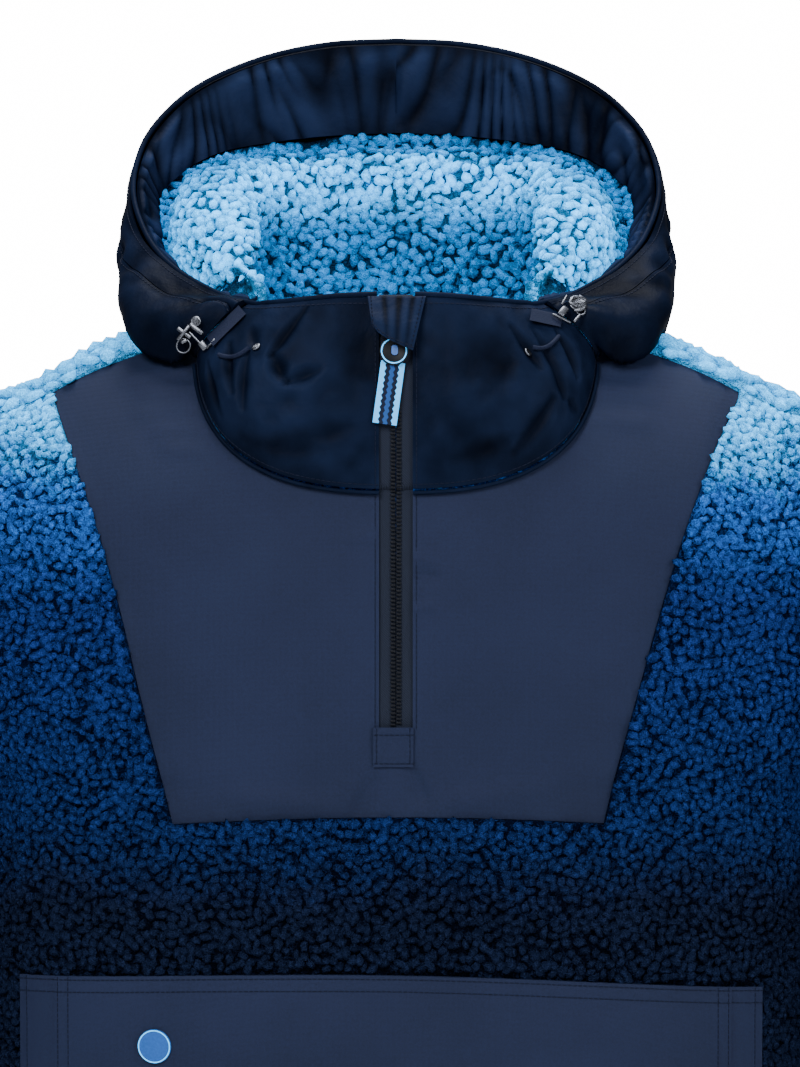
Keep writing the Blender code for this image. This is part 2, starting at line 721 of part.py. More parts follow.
def lifted(points, rise):
    """Points of the front moved out along the body's normals, with the soft folds."""
    normals = body_normals(points)
    total = (rise + fold_rise(points))[..., None]
    return points + total * normals, normals


def body_front():
    """The front fleece: strips beside the yoke, and the whole width below it."""
    left, right = strip_columns(-1), strip_columns(1)
    lower = lower_columns()
    middle = len(lower) - 2 * SIDE_STEPS - 2
    upper_rows = left.shape[1]
    blank = np.repeat(lower[SIDE_STEPS + 1 : -SIDE_STEPS - 1, :1], upper_rows, axis=1)
    upper = np.concatenate([left, blank[: middle], right[::-1]])
    xz = np.concatenate([upper, lower[:, 1:]], axis=1).transpose(1, 0, 2)
    shown, normals = lifted(front_surface(xz), 0.0)
    hidden = shown - FLEECE_WALL * normals
    columns = xz.shape[1]

    def cells(row, column):
        return row >= upper_rows - 1 or column < SIDE_STEPS or column >= columns - 1 - SIDE_STEPS

    for points in (shown, hidden):
        upper_part = points[:upper_rows]
        mirrored = columns - 1 - SIDE_STEPS
        for column, outer in ((SIDE_STEPS, SIDE_STEPS - 1), (mirrored, mirrored + 1)):
            upper_part[:, column] += SEAM_GAP * unit(upper_part[:, outer] - upper_part[:, column])
        seam = points[upper_rows - 1, SIDE_STEPS : mirrored + 1]
        seam += SEAM_GAP * unit(points[upper_rows, SIDE_STEPS : mirrored + 1] - seam)
        for column in list(range(SIDE_STEPS + 1)) + list(range(mirrored, columns)):
            points[0, column] += SEAM_GAP * unit(points[1, column] - points[0, column])
        low = np.arange(len(points)) >= len(UPPER_ROWS) - 1
        points[low, 0, 1] -= SEAM_GAP
        points[low, -1, 1] -= SEAM_GAP
    return wall("body_front", shown, hidden, "fleece", cells)


def body_back():
    """The back fleece, which comes over the shoulders to the yoke's shoulder seam."""
    stops = [*side_stops()[::-1], *SHOULDER_STOPS[-2::-1]]
    half = [(stop, -SEAM_ARCH) for stop in stops]
    for turn in HOOD_TURNS[2:-1]:
        share = abs(math.cos(math.radians(turn))) ** (2 / NECK_ROUNDNESS)
        half.append((neck_point(turn)[0], -SEAM_ARCH + (NECK_BACK_ARCH + SEAM_ARCH) * share))
    columns = [(-x, end) for x, end in half] + [(0.0, NECK_BACK_ARCH)] + half[::-1]
    low_heights = np.array(LOWER_HEIGHTS[::-1] + (UNDERARM_HEIGHT,))
    points = []
    for x, end in columns:
        across = x / ARMHOLE_X
        column = []
        for z in low_heights:
            at = float(read(BODY, "half_width", z)) * across
            column.append([at, float(body_y(at, z, 1)), z])
        arch_foot = float(ridge(x)) - SHOULDER_ARCH
        for share in BACK_SHARES:
            z = UNDERARM_HEIGHT + (arch_foot - UNDERARM_HEIGHT) * share
            column.append([x, float(body_y(x, z, 1)), z])
        for share in (0.0, *ARCH_SHARES):
            column.append(arch_point(x, math.pi / 2 + (end - math.pi / 2) * share))
        points.append(column)
    shown = np.array(points, float).transpose(1, 0, 2)[::-1]
    normals = body_normals(shown)
    hidden = shown - FLEECE_WALL * normals
    low = np.abs(shown[:, 0, 2]) >= abs(UNDERARM_HEIGHT) - 1e-6
    for grid in (shown, hidden):
        grid[0] += SEAM_GAP * unit(grid[1] - grid[0])
        grid[low, 0, 1] += SEAM_GAP
        grid[low, -1, 1] += SEAM_GAP
    return wall("body_back", shown, hidden, "fleece")


def yoke():
    """The woven bib, one piece with a slit for the zip."""
    left, right = yoke_half_columns(-1), yoke_half_columns(1)
    xz = np.concatenate([left, right[::-1]]).transpose(1, 0, 2)
    shown, normals = lifted(front_surface(xz), -FLEECE_PROUD)
    hidden = shown - WOVEN_WALL * normals
    slit = len(left) - 1
    zip_row = len(UPPER_ROWS) - 3  # the row at the zip's lower end
    for grid in (shown, hidden):
        grid[:] = drawn_in(grid, SEAM_GAP, top=True, bottom=True, left=True, right=True)

    def cells(row, column):
        return column != slit or row >= zip_row

    return wall("yoke", shown, hidden, "woven_navy", cells)


def armhole_loop(side):
    """The armhole's points, from the underarm up the front, over the shoulder and down the back."""
    front_top = float(ridge(ARMHOLE_X)) - YOKE_SEAM_DROP
    heights = front_top + (UNDERARM_HEIGHT - front_top) * np.array(UPPER_ROWS)
    front = [[ARMHOLE_X, float(body_y(ARMHOLE_X, z, -1)), z] for z in heights[::-1]]
    arches = [math.pi / 2 - (SEAM_ARCH + math.pi / 2) * share for share in (*ARCH_SHARES[-2::-1], 0.0)]
    over = [arch_point(ARMHOLE_X, arch) for arch in arches]
    arch_foot = float(ridge(ARMHOLE_X)) - SHOULDER_ARCH
    heights = [UNDERARM_HEIGHT + (arch_foot - UNDERARM_HEIGHT) * share for share in BACK_SHARES[::-1]]
    back = [[ARMHOLE_X, float(body_y(ARMHOLE_X, z, 1)), z] for z in heights]
    loop = np.array(front + over + back, float)
    loop[:, 0] *= side
    return loop


def sleeve(side, name):
    """A sleeve: rings that fan round the underarm from the armhole, then hang down to the cuff."""
    loop = armhole_loop(side)
    pivot_x, pivot_z = ARMHOLE_X + SEAM_GAP, UNDERARM_HEIGHT - SLEEVE_FLOOR
    low, high = UNDERARM_HEIGHT, loop[:, 2].max()
    middle = (low + high) / 2
    round_it = np.arctan2(loop[:, 1], loop[:, 2] - middle)
    reach = loop[:, 2] - pivot_z
    reach_share = (reach - SLEEVE_FLOOR) / (reach.max() - SLEEVE_FLOOR)
    top = read_rows(SLEEVE, pivot_z)
    rings = []
    for angle in CAP_ANGLES:
        turned = angle / 90.0
        blend = turned * turned * (3 - 2 * turned)
        oval = 0.5 + 0.5 * np.cos(round_it)
        share = reach_share + (oval - reach_share) * blend
        out = SLEEVE_FLOOR + (float(read(CAP, "reach", angle)) - SLEEVE_FLOOR) * share
        hanging_y = np.where(np.sin(round_it) < 0, top["front"], top["back"]) * np.sin(round_it)
        deep = loop[:, 1] + (hanging_y - loop[:, 1]) * blend
        lean = math.radians(angle)
        ring = np.stack([pivot_x + out * math.sin(lean), deep, pivot_z + out * math.cos(lean)], axis=-1)
        rings.append(ring)
    for height in (*SLEEVE_HEIGHTS, CUFF_HEIGHT):
        row = read_rows(SLEEVE, height)
        swell = float(read(SLEEVE_FOLDS, "rise", height))
        centre = (row["inner"] + row["outer"]) / 2
        half = (row["outer"] - row["inner"]) / 2
        centre_y = (row["back"] - row["front"]) / 2
        half_y = (row["back"] + row["front"]) / 2
        uneven = swell * (0.6 + 0.4 * np.cos(round_it * 2 + 1.0))
        ring = np.stack(
            [
                centre + (half + uneven) * np.cos(round_it),
                centre_y + (half_y + uneven) * np.sin(round_it),
                np.full(len(loop), height) + 0.006 * np.cos(round_it) * (swell > 0),
            ],
            axis=-1,
        )
        rings.append(ring)
    shown = np.array(rings)
    hidden = shown - FLEECE_WALL * outward(shown)
    in_plane = shown[0] - shown[0].mean(axis=0)
    normals = unit(np.cross(np.roll(shown[0], -1, axis=0) - np.roll(shown[0], 1, axis=0), [1.0, 0.0, 0.0]))
    normals *= np.sign((normals * in_plane).sum(-1, keepdims=True))
    hidden[0] = shown[0] - FLEECE_WALL * normals
    for grid in (shown, hidden):
        grid[..., 0] *= side
    return wall(name, shown, hidden, "fleece", closed=True)


def read_rows(rows, at):
    return {name: float(read(rows, name, at)) for name in rows}


def outward(grid):
    """Normals of a closed tube of rings, pointing away from the rings' middles."""
    normals = grid_normals(grid, closed=True)
    middle = grid.mean(axis=1, keepdims=True)
    away = np.sign(((grid - middle) * normals).sum(-1).mean())
    return normals * away


# Collar and hood


def collar_line(side, turn, share, neck=None):
    """A point of the collar's padded outer face: share is 0 at the neck seam and 1 at the top edge."""
    start = neck_point(turn) if neck is None else neck
    top = read_point(RIM, "", turn)
    out = unit(np.array([start[0], start[1] + 0.015, 0.0]))
    bulge = 0.008 + 0.006 * math.sin(math.pi * min(turn, 90.0) / 90.0)
    place = start + (top - start) * share + out * bulge * math.sin(math.pi * share) ** 0.8
    return place * np.array([side, 1.0, 1.0])


def crease_depth(side, turn, share):
    """How deep the collar's creases press it in at this place."""
    total = 0.0
    for crease in COLLAR_CREASES:
        if crease["side"] != side:
            continue
        start = np.array([crease["turn"] * TURN_REACH, crease["rise"] * RISE_REACH])
        end = np.array([crease["to_turn"] * TURN_REACH, crease["to_rise"] * RISE_REACH])
        here = np.array([turn * TURN_REACH, share * RISE_REACH])
        along = np.clip(np.dot(here - start, end - start) / np.dot(end - start, end - start), 0.0, 1.0)
        away = np.linalg.norm(here - start - along * (end - start)) / crease["width"]
        total += crease["depth"] * math.exp(-away * away)
    return total


def collar_grid(side):
    """The collar's outer face: rows from its top edge to the neck seam, columns from the zip outwards."""
    turns, necks = [], []
    for start, end in zip(FRONT_TURNS[:-2], FRONT_TURNS[1:-1]):
        for share in (0.0, 0.5):
            turns.append(start + (end - start) * share)
            necks.append(neck_point(start) + (neck_point(end) - neck_point(start)) * share)
    turns.append(COLLAR_END)
    necks.append(neck_point(COLLAR_END))
    rows = []
    for share in COLLAR_SHARES:
        rows.append([collar_line(side, turn, share, neck) for turn, neck in zip(turns, necks)])
    return np.array(rows)


def collar(side, name):
    turns = []
    for start, end in zip(FRONT_TURNS[:-2], FRONT_TURNS[1:-1]):
        turns += [start, (start + end) / 2]
    turns.append(COLLAR_END)
    smooth = collar_grid(side)
    normals = grid_normals(smooth) * -side
    shown = smooth.copy()
    for row, share in enumerate(COLLAR_SHARES):
        for column, turn in enumerate(turns):
            kept = math.sin(math.pi * share) ** 0.5 if 0 < share < 1 else 0.0
            shown[row, column] -= normals[row, column] * crease_depth(side, turn, share) * kept
    hidden = smooth - COLLAR_WALL * normals
    for grid in (shown, hidden):
        grid[:] = drawn_in(grid, SEAM_GAP, bottom=True, right=True)
        grid[:] = drawn_in(grid, PIPING_RADIUS + SEAM_GAP, top=True)
        grid[:, 0, 0] = side * ZIP_HALF_WIDTH
    return wall(name, shown, hidden, "padded_navy")


def through(points, shares):
    """Points along a smooth curve through control points, at shares of the way."""
    keys = np.linspace(0.0, 1.0, len(points))
    ways = [{"key": keys, "value": np.array(points)[:, axis]} for axis in range(3)]
    return np.stack([read(way, "value", shares) for way in ways], axis=-1)


def off_rim(points):
    """The grid with its first row moved down clear of the rim's piping."""
    made = points.copy()
    down = unit(points[1] - points[0])
    along = unit(np.gradient(points[0], axis=0))
    slant = np.linalg.norm(np.cross(down, along), axis=-1, keepdims=True)
    made[0] += (PIPING_RADIUS + RIM_GAP) / slant * down
    return made


def shell_profile(side, turn, shares):
    """The hood's shell at one turn, from the rim down to the neck seam."""
    neck = neck_point(turn)
    neck = neck + SHELL_SEAM * body_normals(neck[None])[0]
    rim = read_point(RIM, "", turn)
    controls = [rim, *(read_point(SHELL, prefix, turn) for prefix in ("wide_", "low_", "rest_")), neck]
    line = through(controls, np.linspace(0.0, 1.0, 41))
    along = np.concatenate([[0.0], np.cumsum(np.linalg.norm(np.diff(line, axis=0), axis=1))])
    wanted = np.array(shares) * along[-1]
    line = np.stack([np.interp(wanted, along, line[:, axis]) for axis in range(3)], axis=-1)
    if turn <= COLLAR_END:
        line = np.array([collar_line(1, turn, 1.0 - share) for share in shares])
        line[-1] = neck
    for point in line[:-1]:
        under = body_top(point[0], point[1])
        if under is not None:
            point[2] = max(point[2], under + SHELL_REST)
    return line * np.array([side, 1.0, 1.0])


def shell_grid(side):
    return np.array([shell_profile(side, turn, SHELL_SHARES) for turn in HOOD_TURNS]).transpose(1, 0, 2)


def hood_shell(side, word):
    """The hood's outer side panel and, along the rim, its band."""
    line = shell_grid(side)
    normals = grid_normals(line) * -side
    hidden = line + SHELL_CLEAR * normals
    shown = hidden + SHELL_WALL * normals
    for grid in (shown, hidden):
        grid[:] = drawn_in(grid, SEAM_GAP, left=True)
        grid[:] = off_rim(grid)
        grid[:, -1, 0] = side * SEAM_GAP
    band = [drawn_in(grid[: BAND_ROWS + 1], SEAM_GAP, bottom=True) for grid in (shown, hidden)]
    wall("hood_band_" + word, *band, "padded_navy")
    panel = [drawn_in(grid[BAND_ROWS:], 1.5 * SEAM_GAP, top=True) for grid in (shown, hidden)]
    wall("hood_side_" + word, *panel, "padded_navy")


def hood_facing(side, name):
    """The gathered band inside the rim, taken up in small uneven puckers between the rim and the lining."""
    steps = GATHERS_A_SIDE * 2
    turns = np.linspace(COLLAR_END, 180.0, steps + 1)
    rims = np.array([read_point(RIM, "", turn) for turn in turns])
    feet = np.array([read_point(FACING, "", turn) for turn in turns])
    rows = table("share pucker", (0.0, 0.0), (0.35, 1.0), (0.7, 0.75), (1.0, 0.0))
    line = rims + (feet - rims) * rows["share"][:, None, None]
    line *= np.array([side, 1.0, 1.0])
    normals = grid_normals(line) * side
    uneven = 0.65 + 0.35 * np.sin(turns * 0.37 + 0.8) * np.cos(turns * 0.11)
    puckers = np.where(np.arange(steps + 1) % 2, uneven * GATHER_DEPTH, 0.0)
    lift = rows["pucker"][:, None] * puckers
    hidden = line + (SHELL_CLEAR + 0.5 * lift)[..., None] * normals
    shown = line + (SHELL_CLEAR + FACING_WALL + lift)[..., None] * normals
    for grid in (shown, hidden):
        grid[:] = off_rim(grid)
        grid[:] = drawn_in(grid, SEAM_GAP, bottom=True, left=True)
        grid[:, -1, 0] = side * SEAM_GAP
    return wall(name, shown, hidden, "padded_navy")


def roll_profile(turn, shares):
    """The pile lining at one turn: from the facing's foot, over the fat fold, down inside the neck."""
    inner_edge = collar_inside(turn)
    crest = read_point(ROLL, "", turn)
    radius = float(read(ROLL, "radius", turn))
    foot = inner_edge[0]
    if turn > COLLAR_END:
        foot = read_point(FACING, "", turn)
        foot = foot + LINING_DROP * unit(foot - read_point(RIM, "", turn))
    out = foot - crest
    out[2] = 0.0
    radius = min(radius, float(np.linalg.norm(out)) - ROLL_CLEAR)
    out = unit(out)
    up = np.array([0.0, 0.0, 1.0])
    throat = inner_edge[-1]
    trough = (crest + out * radius + foot) / 2
    trough[2] = min(crest[2] - radius - LINING_TROUGH, foot[2] - 0.003)
    trough[2] = max(trough[2], foot[2] - float(read(TROUGH, "drop", turn)))
    controls = [
        foot,
        trough,
        crest + out * radius - up * radius,
        crest + out * radius * 0.7 - up * radius * 0.3,
        crest,
        crest - out * radius * 0.7 - up * radius * 0.3,
        crest - out * radius - up * radius,
        crest - out * radius * 1.05 + (throat - crest) * 0.55 + out * radius * 0.55,
        throat,
    ]
    return through(controls, np.array(shares))


def collar_inside(turn):
    """The pile on the collar's inside, from its top edge down to the neck seam."""
    held = min(turn, 90.0)
    depth = COLLAR_WALL + 4 * SEAM_GAP + LINING_WALL
    line = np.array([collar_line(1, held, share) for share in INSIDE_SHARES])
    if turn > 90.0:
        line[-1] = neck_point(turn)
        depth = LINING_WALL + BACK_NECK_GAP
    out = unit(np.array([line[-1][0], line[-1][1] + 0.015, 0.0]))
    return line - out * depth


def hood_lining():
    """The pile lining of the hood and collar, one piece from zip to zip."""
    turns = [*LINING_TURNS, *HOOD_TURNS[1:]]
    half = []
    for turn in turns:
        rolled = roll_profile(turn, LINING_SHARES)
        plain = through(list(collar_inside(min(turn, 90.0))), LINING_SHARES)
        blend = np.clip((turn - 62.0) / 30.0, 0.0, 1.0)
        blend = blend * blend * (3 - 2 * blend)
        half.append(plain + (rolled - plain) * blend)
    half = np.array(half)
    mirrored = half[:-1] * np.array([-1.0, 1.0, 1.0])
    shown = np.concatenate([mirrored, half[::-1]]).transpose(1, 0, 2)
    normals = grid_normals(shown)
    hidden = shown - LINING_WALL * normals
    for grid in (shown, hidden):
        grid[:] = drawn_in(grid, SEAM_GAP, top=True)
    return wall("hood_lining", shown, hidden, "lining_fleece")


def rim_piping():
    """Piping along the hood's open edge, from one side of the zip round the back to the other."""
    middles = [(start + end) / 2 for start, end in zip(HOOD_TURNS, HOOD_TURNS[1:])]
    turns = [3.0, *FRONT_TURNS[1:-2], *sorted([*HOOD_TURNS, *middles])]
    half = np.array([read_point(RIM, "", turn) for turn in turns])
    path = np.concatenate([half, half[-2::-1] * np.array([-1.0, 1.0, 1.0])])
    return tube("rim_piping", path, PIPING_RADIUS, "padded_navy")


def neck_piping(side, name):
    """Piping that lies on the yoke, just below the collar's seam."""
    path = []
    for turn in FRONT_TURNS[:-1]:
        place = neck_point(turn)
        normal = body_normals(place[None])[0]
        tangent = unit(neck_point(turn + 1.0) - neck_point(turn - 1.0))
        down = np.cross(tangent, normal)
        down *= np.sign(down[0] * place[0] - down[2])
        place = place + NECK_PIPING_DROP * down + NECK_PIPING_LIFT * normal
        path.append(place * np.array([side, 1.0, 1.0]))
    return tube(name, path, NECK_PIPING_RADIUS, "padded_navy")


def centre_line(height):
    """The y of the woven cloth's outer face at the zip."""
    neck = neck_point(FRONT_TURNS[0])
    if height < neck[2]:
        return float(body_y(0.0, height, -1)) + FLEECE_PROUD
    share = (height - neck[2]) / (read_point(RIM, "", FRONT_TURNS[0])[2] - neck[2])
    return float(collar_line(1, FRONT_TURNS[0], min(share, 1.0))[1])


def ribbon_wall(name, edges, offset, thick, finish):
    """A narrow vertical strip on the centre line: edges are rows of (height, left x, right x)."""
    shown, hidden = [], []
    for height, left, right in edges:
        y = centre_line(height) - offset
        stops = (left, (left + right) / 2, right)
        shown.append([[x, y, height] for x in stops])
        hidden.append([[x, y + thick, height] for x in stops])
    return wall(name, np.array(shown), np.array(hidden), finish)


def zip_pieces():
    """The zip's two tapes, sunk behind the woven cloth, and the patch over its lower end."""
    heights = np.linspace(ZIP_TOP, ZIP_END_HEIGHT + 0.0008, 15)
    inner, outer = SEAM_GAP / 2, ZIP_HALF_WIDTH - SEAM_GAP
    left = [(height, -outer, -inner) for height in heights]
    right = [(height, inner, outer) for height in heights]
    ribbon_wall("zip_tape_left", left, -TAPE_SUNK, TAPE_THICK, "zip_tape")
    ribbon_wall("zip_tape_right", right, -TAPE_SUNK, TAPE_THICK, "zip_tape")
    heights = np.linspace(ZIP_END_HEIGHT + 0.0015, ZIP_END_HEIGHT - 0.0215, 3)
    patch = [(height, PATCH_LEFT, PATCH_RIGHT) for height in heights]
    ribbon_wall("zip_end_patch", patch, PATCH_PROUD, PATCH_THICK, "woven_navy")


def zip_flap():
    """The flap that houses the zip's top: on the collar at the rim, and clear of the pull below."""
    shown, hidden = [], []
    for share in np.linspace(0.0, 1.0, 5):
        x = FLAP["top_x"] + (FLAP["foot_x"] - FLAP["top_x"]) * share
        z = FLAP_TOP + (FLAP["foot_z"] - FLAP_TOP) * share
        y = np.array([centre_line(height) for height in z]) - read(FLAP_LIFTS, "lift", share)
        hidden.append(np.stack([x, y, z], axis=-1))
        shown.append(np.stack([x, y - FLAP_WALL, z], axis=-1))
    return wall("zip_flap", np.array(shown), np.array(hidden), "padded_navy")


def pull():
    """The slider, and the round pull with its ribbon, which swings on the slider's bail."""
    slider = block("zip_slider", (0.0085, 0.0030, 0.0110), "gunmetal")
    slider.location = (0.0, centre_line(SLIDER_HEIGHT) + 0.0001, SLIDER_HEIGHT)
    slope = (centre_line(SLIDER_HEIGHT) - centre_line(0.0)) / SLIDER_HEIGHT
    slider.rotation_euler.x = -math.atan(slope)
    heights = np.linspace(PULL_FOOT, HINGE_HEIGHT, 9)
    faces = np.array([centre_line(height) for height in heights])
    slope = (faces[-1] - faces[0]) / (HINGE_HEIGHT - PULL_FOOT)
    nearest = (faces - slope * (heights - HINGE_HEIGHT)).min()
    hinge = bpy.data.objects.new("pull_hinge", None)
    disc_back = PULL_CLEAR + RIBBON_THICK + SEAM_GAP
    hinge.location = (HINGE_X, nearest - disc_back - DISC_THICK / 2, HINGE_HEIGHT)
    bpy.context.scene.collection.objects.link(hinge)
    tilt = Matrix.Rotation(-math.atan(slope), 4, "X")
    plate = disc("pull_disc", DISC_RADIUS, DISC_THICK, "pull_rubber")
    plate.parent = hinge
    plate.matrix_local = tilt @ Matrix.Translation((0.0, 0.0, -DISC_DROP))
    ribbon = block("pull_ribbon", (RIBBON_WIDTH, RIBBON_THICK, RIBBON_LENGTH), "ribbon")
    ribbon.parent = hinge
    behind = (DISC_THICK + RIBBON_THICK) / 2 + SEAM_GAP
    lean = Matrix.Rotation(RIBBON_LEAN, 4, "Y")
    ribbon.matrix_local = tilt @ Matrix.Translation((RIBBON_X, behind, -RIBBON_DROP)) @ lean


def pocket_top(x):
    return POCKET_TOP - POCKET_SAG * (x / POCKET_HALF) ** 2 - POCKET_TILT * (x / POCKET_HALF)


def pocket():
    """The kangaroo pocket, sewn flat: a front panel between two set-back side strips."""
    for panel in POCKET_PANELS:
        x = np.linspace(panel["start"] + SEAM_GAP / 2, panel["end"] - SEAM_GAP / 2, panel["steps"] + 1)
        down = np.linspace(0.0, 1.0, 6)[:, None]
        z = pocket_top(x) + (POCKET_BOTTOM - pocket_top(x)) * down
        base, normals = lifted(front_surface(np.stack([np.broadcast_to(x, z.shape), z], axis=-1)), 0.0)
        hidden = base + POCKET_LIFT * normals
        wall(panel["name"], hidden + panel["thick"] * normals, hidden, "woven_navy")


def surfaces(*names):
    """One searchable tree of the named objects' meshes."""
    points, polygons = [], []
    for name in names:
        mesh = bpy.data.objects[name].data
        first = len(points)
        points += [vertex.co.copy() for vertex in mesh.vertices]
        polygons += [[first + vertex for vertex in face.vertices] for face in mesh.polygons]
    return BVHTree.FromPolygons(points, polygons)


def seen_at(tree, x, z):
    """The first point of the tree's surfaces behind (x, z), as the viewer looks along +Y, or None."""
    return tree.ray_cast(Vector((x, -1.0, z)), Vector((0.0, 1.0, 0.0)))[0]


def perch(tree, made, x, z, reach, half_thick, lean=0.0):
    """Lays a plate flat on the surface at (x, z), just clear of it."""
    turn = math.radians(lean)
    steps = np.linspace(-reach, reach, 9)
    across, up = (math.cos(turn), -math.sin(turn)), (math.sin(turn), math.cos(turn))
    hits = [
        seen_at(tree, x + wide * across[0] + high * up[0], z + wide * across[1] + high * up[1])
        for wide in steps
        for high in steps
    ]
    points = np.array([hit for hit in hits if hit is not None and hit.y < PERCH_LIMIT])
    columns = np.stack([np.ones(len(points)), points[:, 0] - x, points[:, 2] - z], axis=-1)
    (start, slope_x, slope_z), *_ = np.linalg.lstsq(columns, points[:, 1], rcond=None)
    normal = Vector((slope_x, -1.0, slope_z)).normalized()
    middle = Vector((x, start, z))
    rise = max((Vector(point) - middle).dot(normal) for point in points)
    depth_axis = -normal
    leant = Vector((math.sin(turn), 0.0, math.cos(turn)))
    up_axis = (leant - leant.dot(depth_axis) * depth_axis).normalized()
    turned = Matrix((depth_axis.cross(up_axis), depth_axis, up_axis)).transposed().to_4x4()
    centre = middle + normal * (rise + half_thick + PERCH_CLEAR)
    made.matrix_world = Matrix.Translation(centre) @ turned


def badge():
    """A plain round badge on the pocket."""
    made = disc("pocket_badge", BADGE_RADIUS, BADGE_THICK, "badge")
    perch(surfaces("pocket_front"), made, BADGE_X, BADGE_HEIGHT, BADGE_RADIUS, BADGE_THICK / 2)


def adjusters():
    """On each side of the hood: a webbing tab, a metal adjuster, a short elastic cord and its eyelet."""
    for parts in ADJUSTERS:
        word = parts["word"]
        tree = surfaces("collar_" + word, "hood_side_" + word, "hood_band_" + word)
        tab_wall("tab_" + word, tree, parts["tab"])
        size = (BUCKLE, BUCKLE_THICK, BUCKLE)
        buckle = block("adjuster_" + word, size, "gunmetal", slot=BUCKLE_SLOT)
        perch(tree, buckle, *parts["buckle"], BUCKLE / 2, BUCKLE_THICK / 2, parts["lean"])
        eyelet = disc("eyelet_" + word, EYELET_RADIUS, EYELET_THICK, "gunmetal", steps=10)
        perch(tree, eyelet, *parts["eye"], EYELET_RADIUS, EYELET_THICK / 2)
        (start_x, start_z), (end_x, end_z) = parts["cord"]
        path = []
        for share in np.linspace(0.0, 1.0, 5):
            sag = -CORD_SAG * math.sin(math.pi * share)
            x, z = start_x + (end_x - start_x) * share, start_z + (end_z - start_z) * share + sag
            path.append((x, seen_at(tree, x, z).y - CORD_RADIUS - CORD_CLEAR, z))
        tube("adjuster_cord_" + word, path, CORD_RADIUS, "webbing")


def tab_wall(name, tree, ends):
    """A flat strip of webbing laid on the surface from one point to another."""
    (start_x, start_z), (end_x, end_z) = ends
    along = np.array([end_x - start_x, end_z - start_z])
    across = np.array([along[1], -along[0]]) / np.linalg.norm(along) * TAB_WIDTH / 2
    hidden = []
    for share in np.linspace(0.0, 1.0, 4):
        middle = np.array([start_x, start_z]) + along * share
        row = [seen_at(tree, *(middle + across * place)) for place in (-1.0, 0.0, 1.0)]
        hidden.append([(point.x, point.y - TAB_CLEAR, point.z) for point in row])
    hidden = np.array(hidden)
    return wall(name, hidden - np.array([0.0, TAB_THICK, 0.0]), hidden, "webbing")


def main():
    for found in list(bpy.data.objects):
        bpy.data.objects.remove(found)
    body_front()
    body_back()
    yoke()
    for side, word in ((-1, "left"), (1, "right")):
        sleeve(side, "sleeve_" + word)
        collar(side, "collar_" + word)
        hood_shell(side, word)
        hood_facing(side, "hood_facing_" + word)
        neck_piping(side, "neck_piping_" + word)
    hood_lining()
    rim_piping()
    zip_pieces()
    zip_flap()
    pull()
    pocket()
    badge()
    adjusters()


main()
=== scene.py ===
"""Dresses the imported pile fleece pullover: deep pile, woven and padded cloth, seams, zip and fittings.

Metres, +Z up. The front faces -Y, and left and right are the viewer's, facing the front. Every sheet of cloth
is a grid of points on the side that shows, moved a little for its pile, creases or gathers, with its hidden
side behind it.
"""

import math

import bmesh
import bpy
import numpy as np
from mathutils import Matrix, Vector
from mathutils.bvhtree import BVHTree


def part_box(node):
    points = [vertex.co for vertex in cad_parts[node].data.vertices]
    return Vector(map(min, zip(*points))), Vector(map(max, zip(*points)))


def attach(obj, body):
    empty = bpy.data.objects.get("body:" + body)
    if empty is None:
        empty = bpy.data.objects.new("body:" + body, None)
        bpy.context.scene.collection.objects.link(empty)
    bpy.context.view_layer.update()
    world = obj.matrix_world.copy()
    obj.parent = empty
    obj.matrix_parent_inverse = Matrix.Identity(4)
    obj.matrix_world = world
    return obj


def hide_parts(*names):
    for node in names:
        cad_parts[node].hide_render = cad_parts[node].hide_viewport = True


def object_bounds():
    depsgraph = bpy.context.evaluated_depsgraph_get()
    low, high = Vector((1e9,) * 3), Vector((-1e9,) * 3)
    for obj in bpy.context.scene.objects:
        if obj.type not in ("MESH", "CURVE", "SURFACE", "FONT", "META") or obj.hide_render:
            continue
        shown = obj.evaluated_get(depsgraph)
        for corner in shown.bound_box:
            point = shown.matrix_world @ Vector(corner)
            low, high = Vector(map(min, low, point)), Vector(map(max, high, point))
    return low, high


bl_info = {
    "name": "Fleece Pullover Dresser",
    "version": (1, 0, 0),
    "blender": (4, 5, 0),
    "location": "3D View > Sidebar > Pullover",
    "description": "Makes the cloth, seams, zip and fittings of a pile fleece pullover",
    "category": "Object",
}

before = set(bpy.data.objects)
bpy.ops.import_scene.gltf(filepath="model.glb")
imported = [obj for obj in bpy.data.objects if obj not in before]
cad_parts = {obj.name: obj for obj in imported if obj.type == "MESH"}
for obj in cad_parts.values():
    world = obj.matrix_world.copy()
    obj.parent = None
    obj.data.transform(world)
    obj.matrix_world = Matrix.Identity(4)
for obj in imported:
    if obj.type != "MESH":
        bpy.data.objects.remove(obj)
CAD_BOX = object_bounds()

GARMENT = "garment"
PULL = "pull"
SEAM_GAP = 0.0003
MEETING = -0.00015  # from the middle to each edge of a seam: the edges reach past each other
EDGE_CLEAR = 0.55  # cells from a curl's middle to the cloth's edge
LEAST_FLAT = 0.010  # the least width or length that a sheet's size is taken as
SHARP_ANGLE = math.radians(62.0)  # edges that turn more than this stay sharp
SIDES = ((-1, "left"), (1, "right"))
MIRROR = np.array([-1.0, 1.0, 1.0])

# Body, worked out on a flattened tube
HEM_HEIGHT = -0.690
UNDERARM_HEIGHT = -0.250
ARMHOLE_X = 0.246
SHOULDER_ARCH = 0.100
SIDE_ROUNDNESS = 2.6
ARMHOLE_FULLNESS = 0.62
FLEECE_WALL = 0.0045
FLEECE_PROUD = 0.0025
WOVEN_WALL = 0.0016

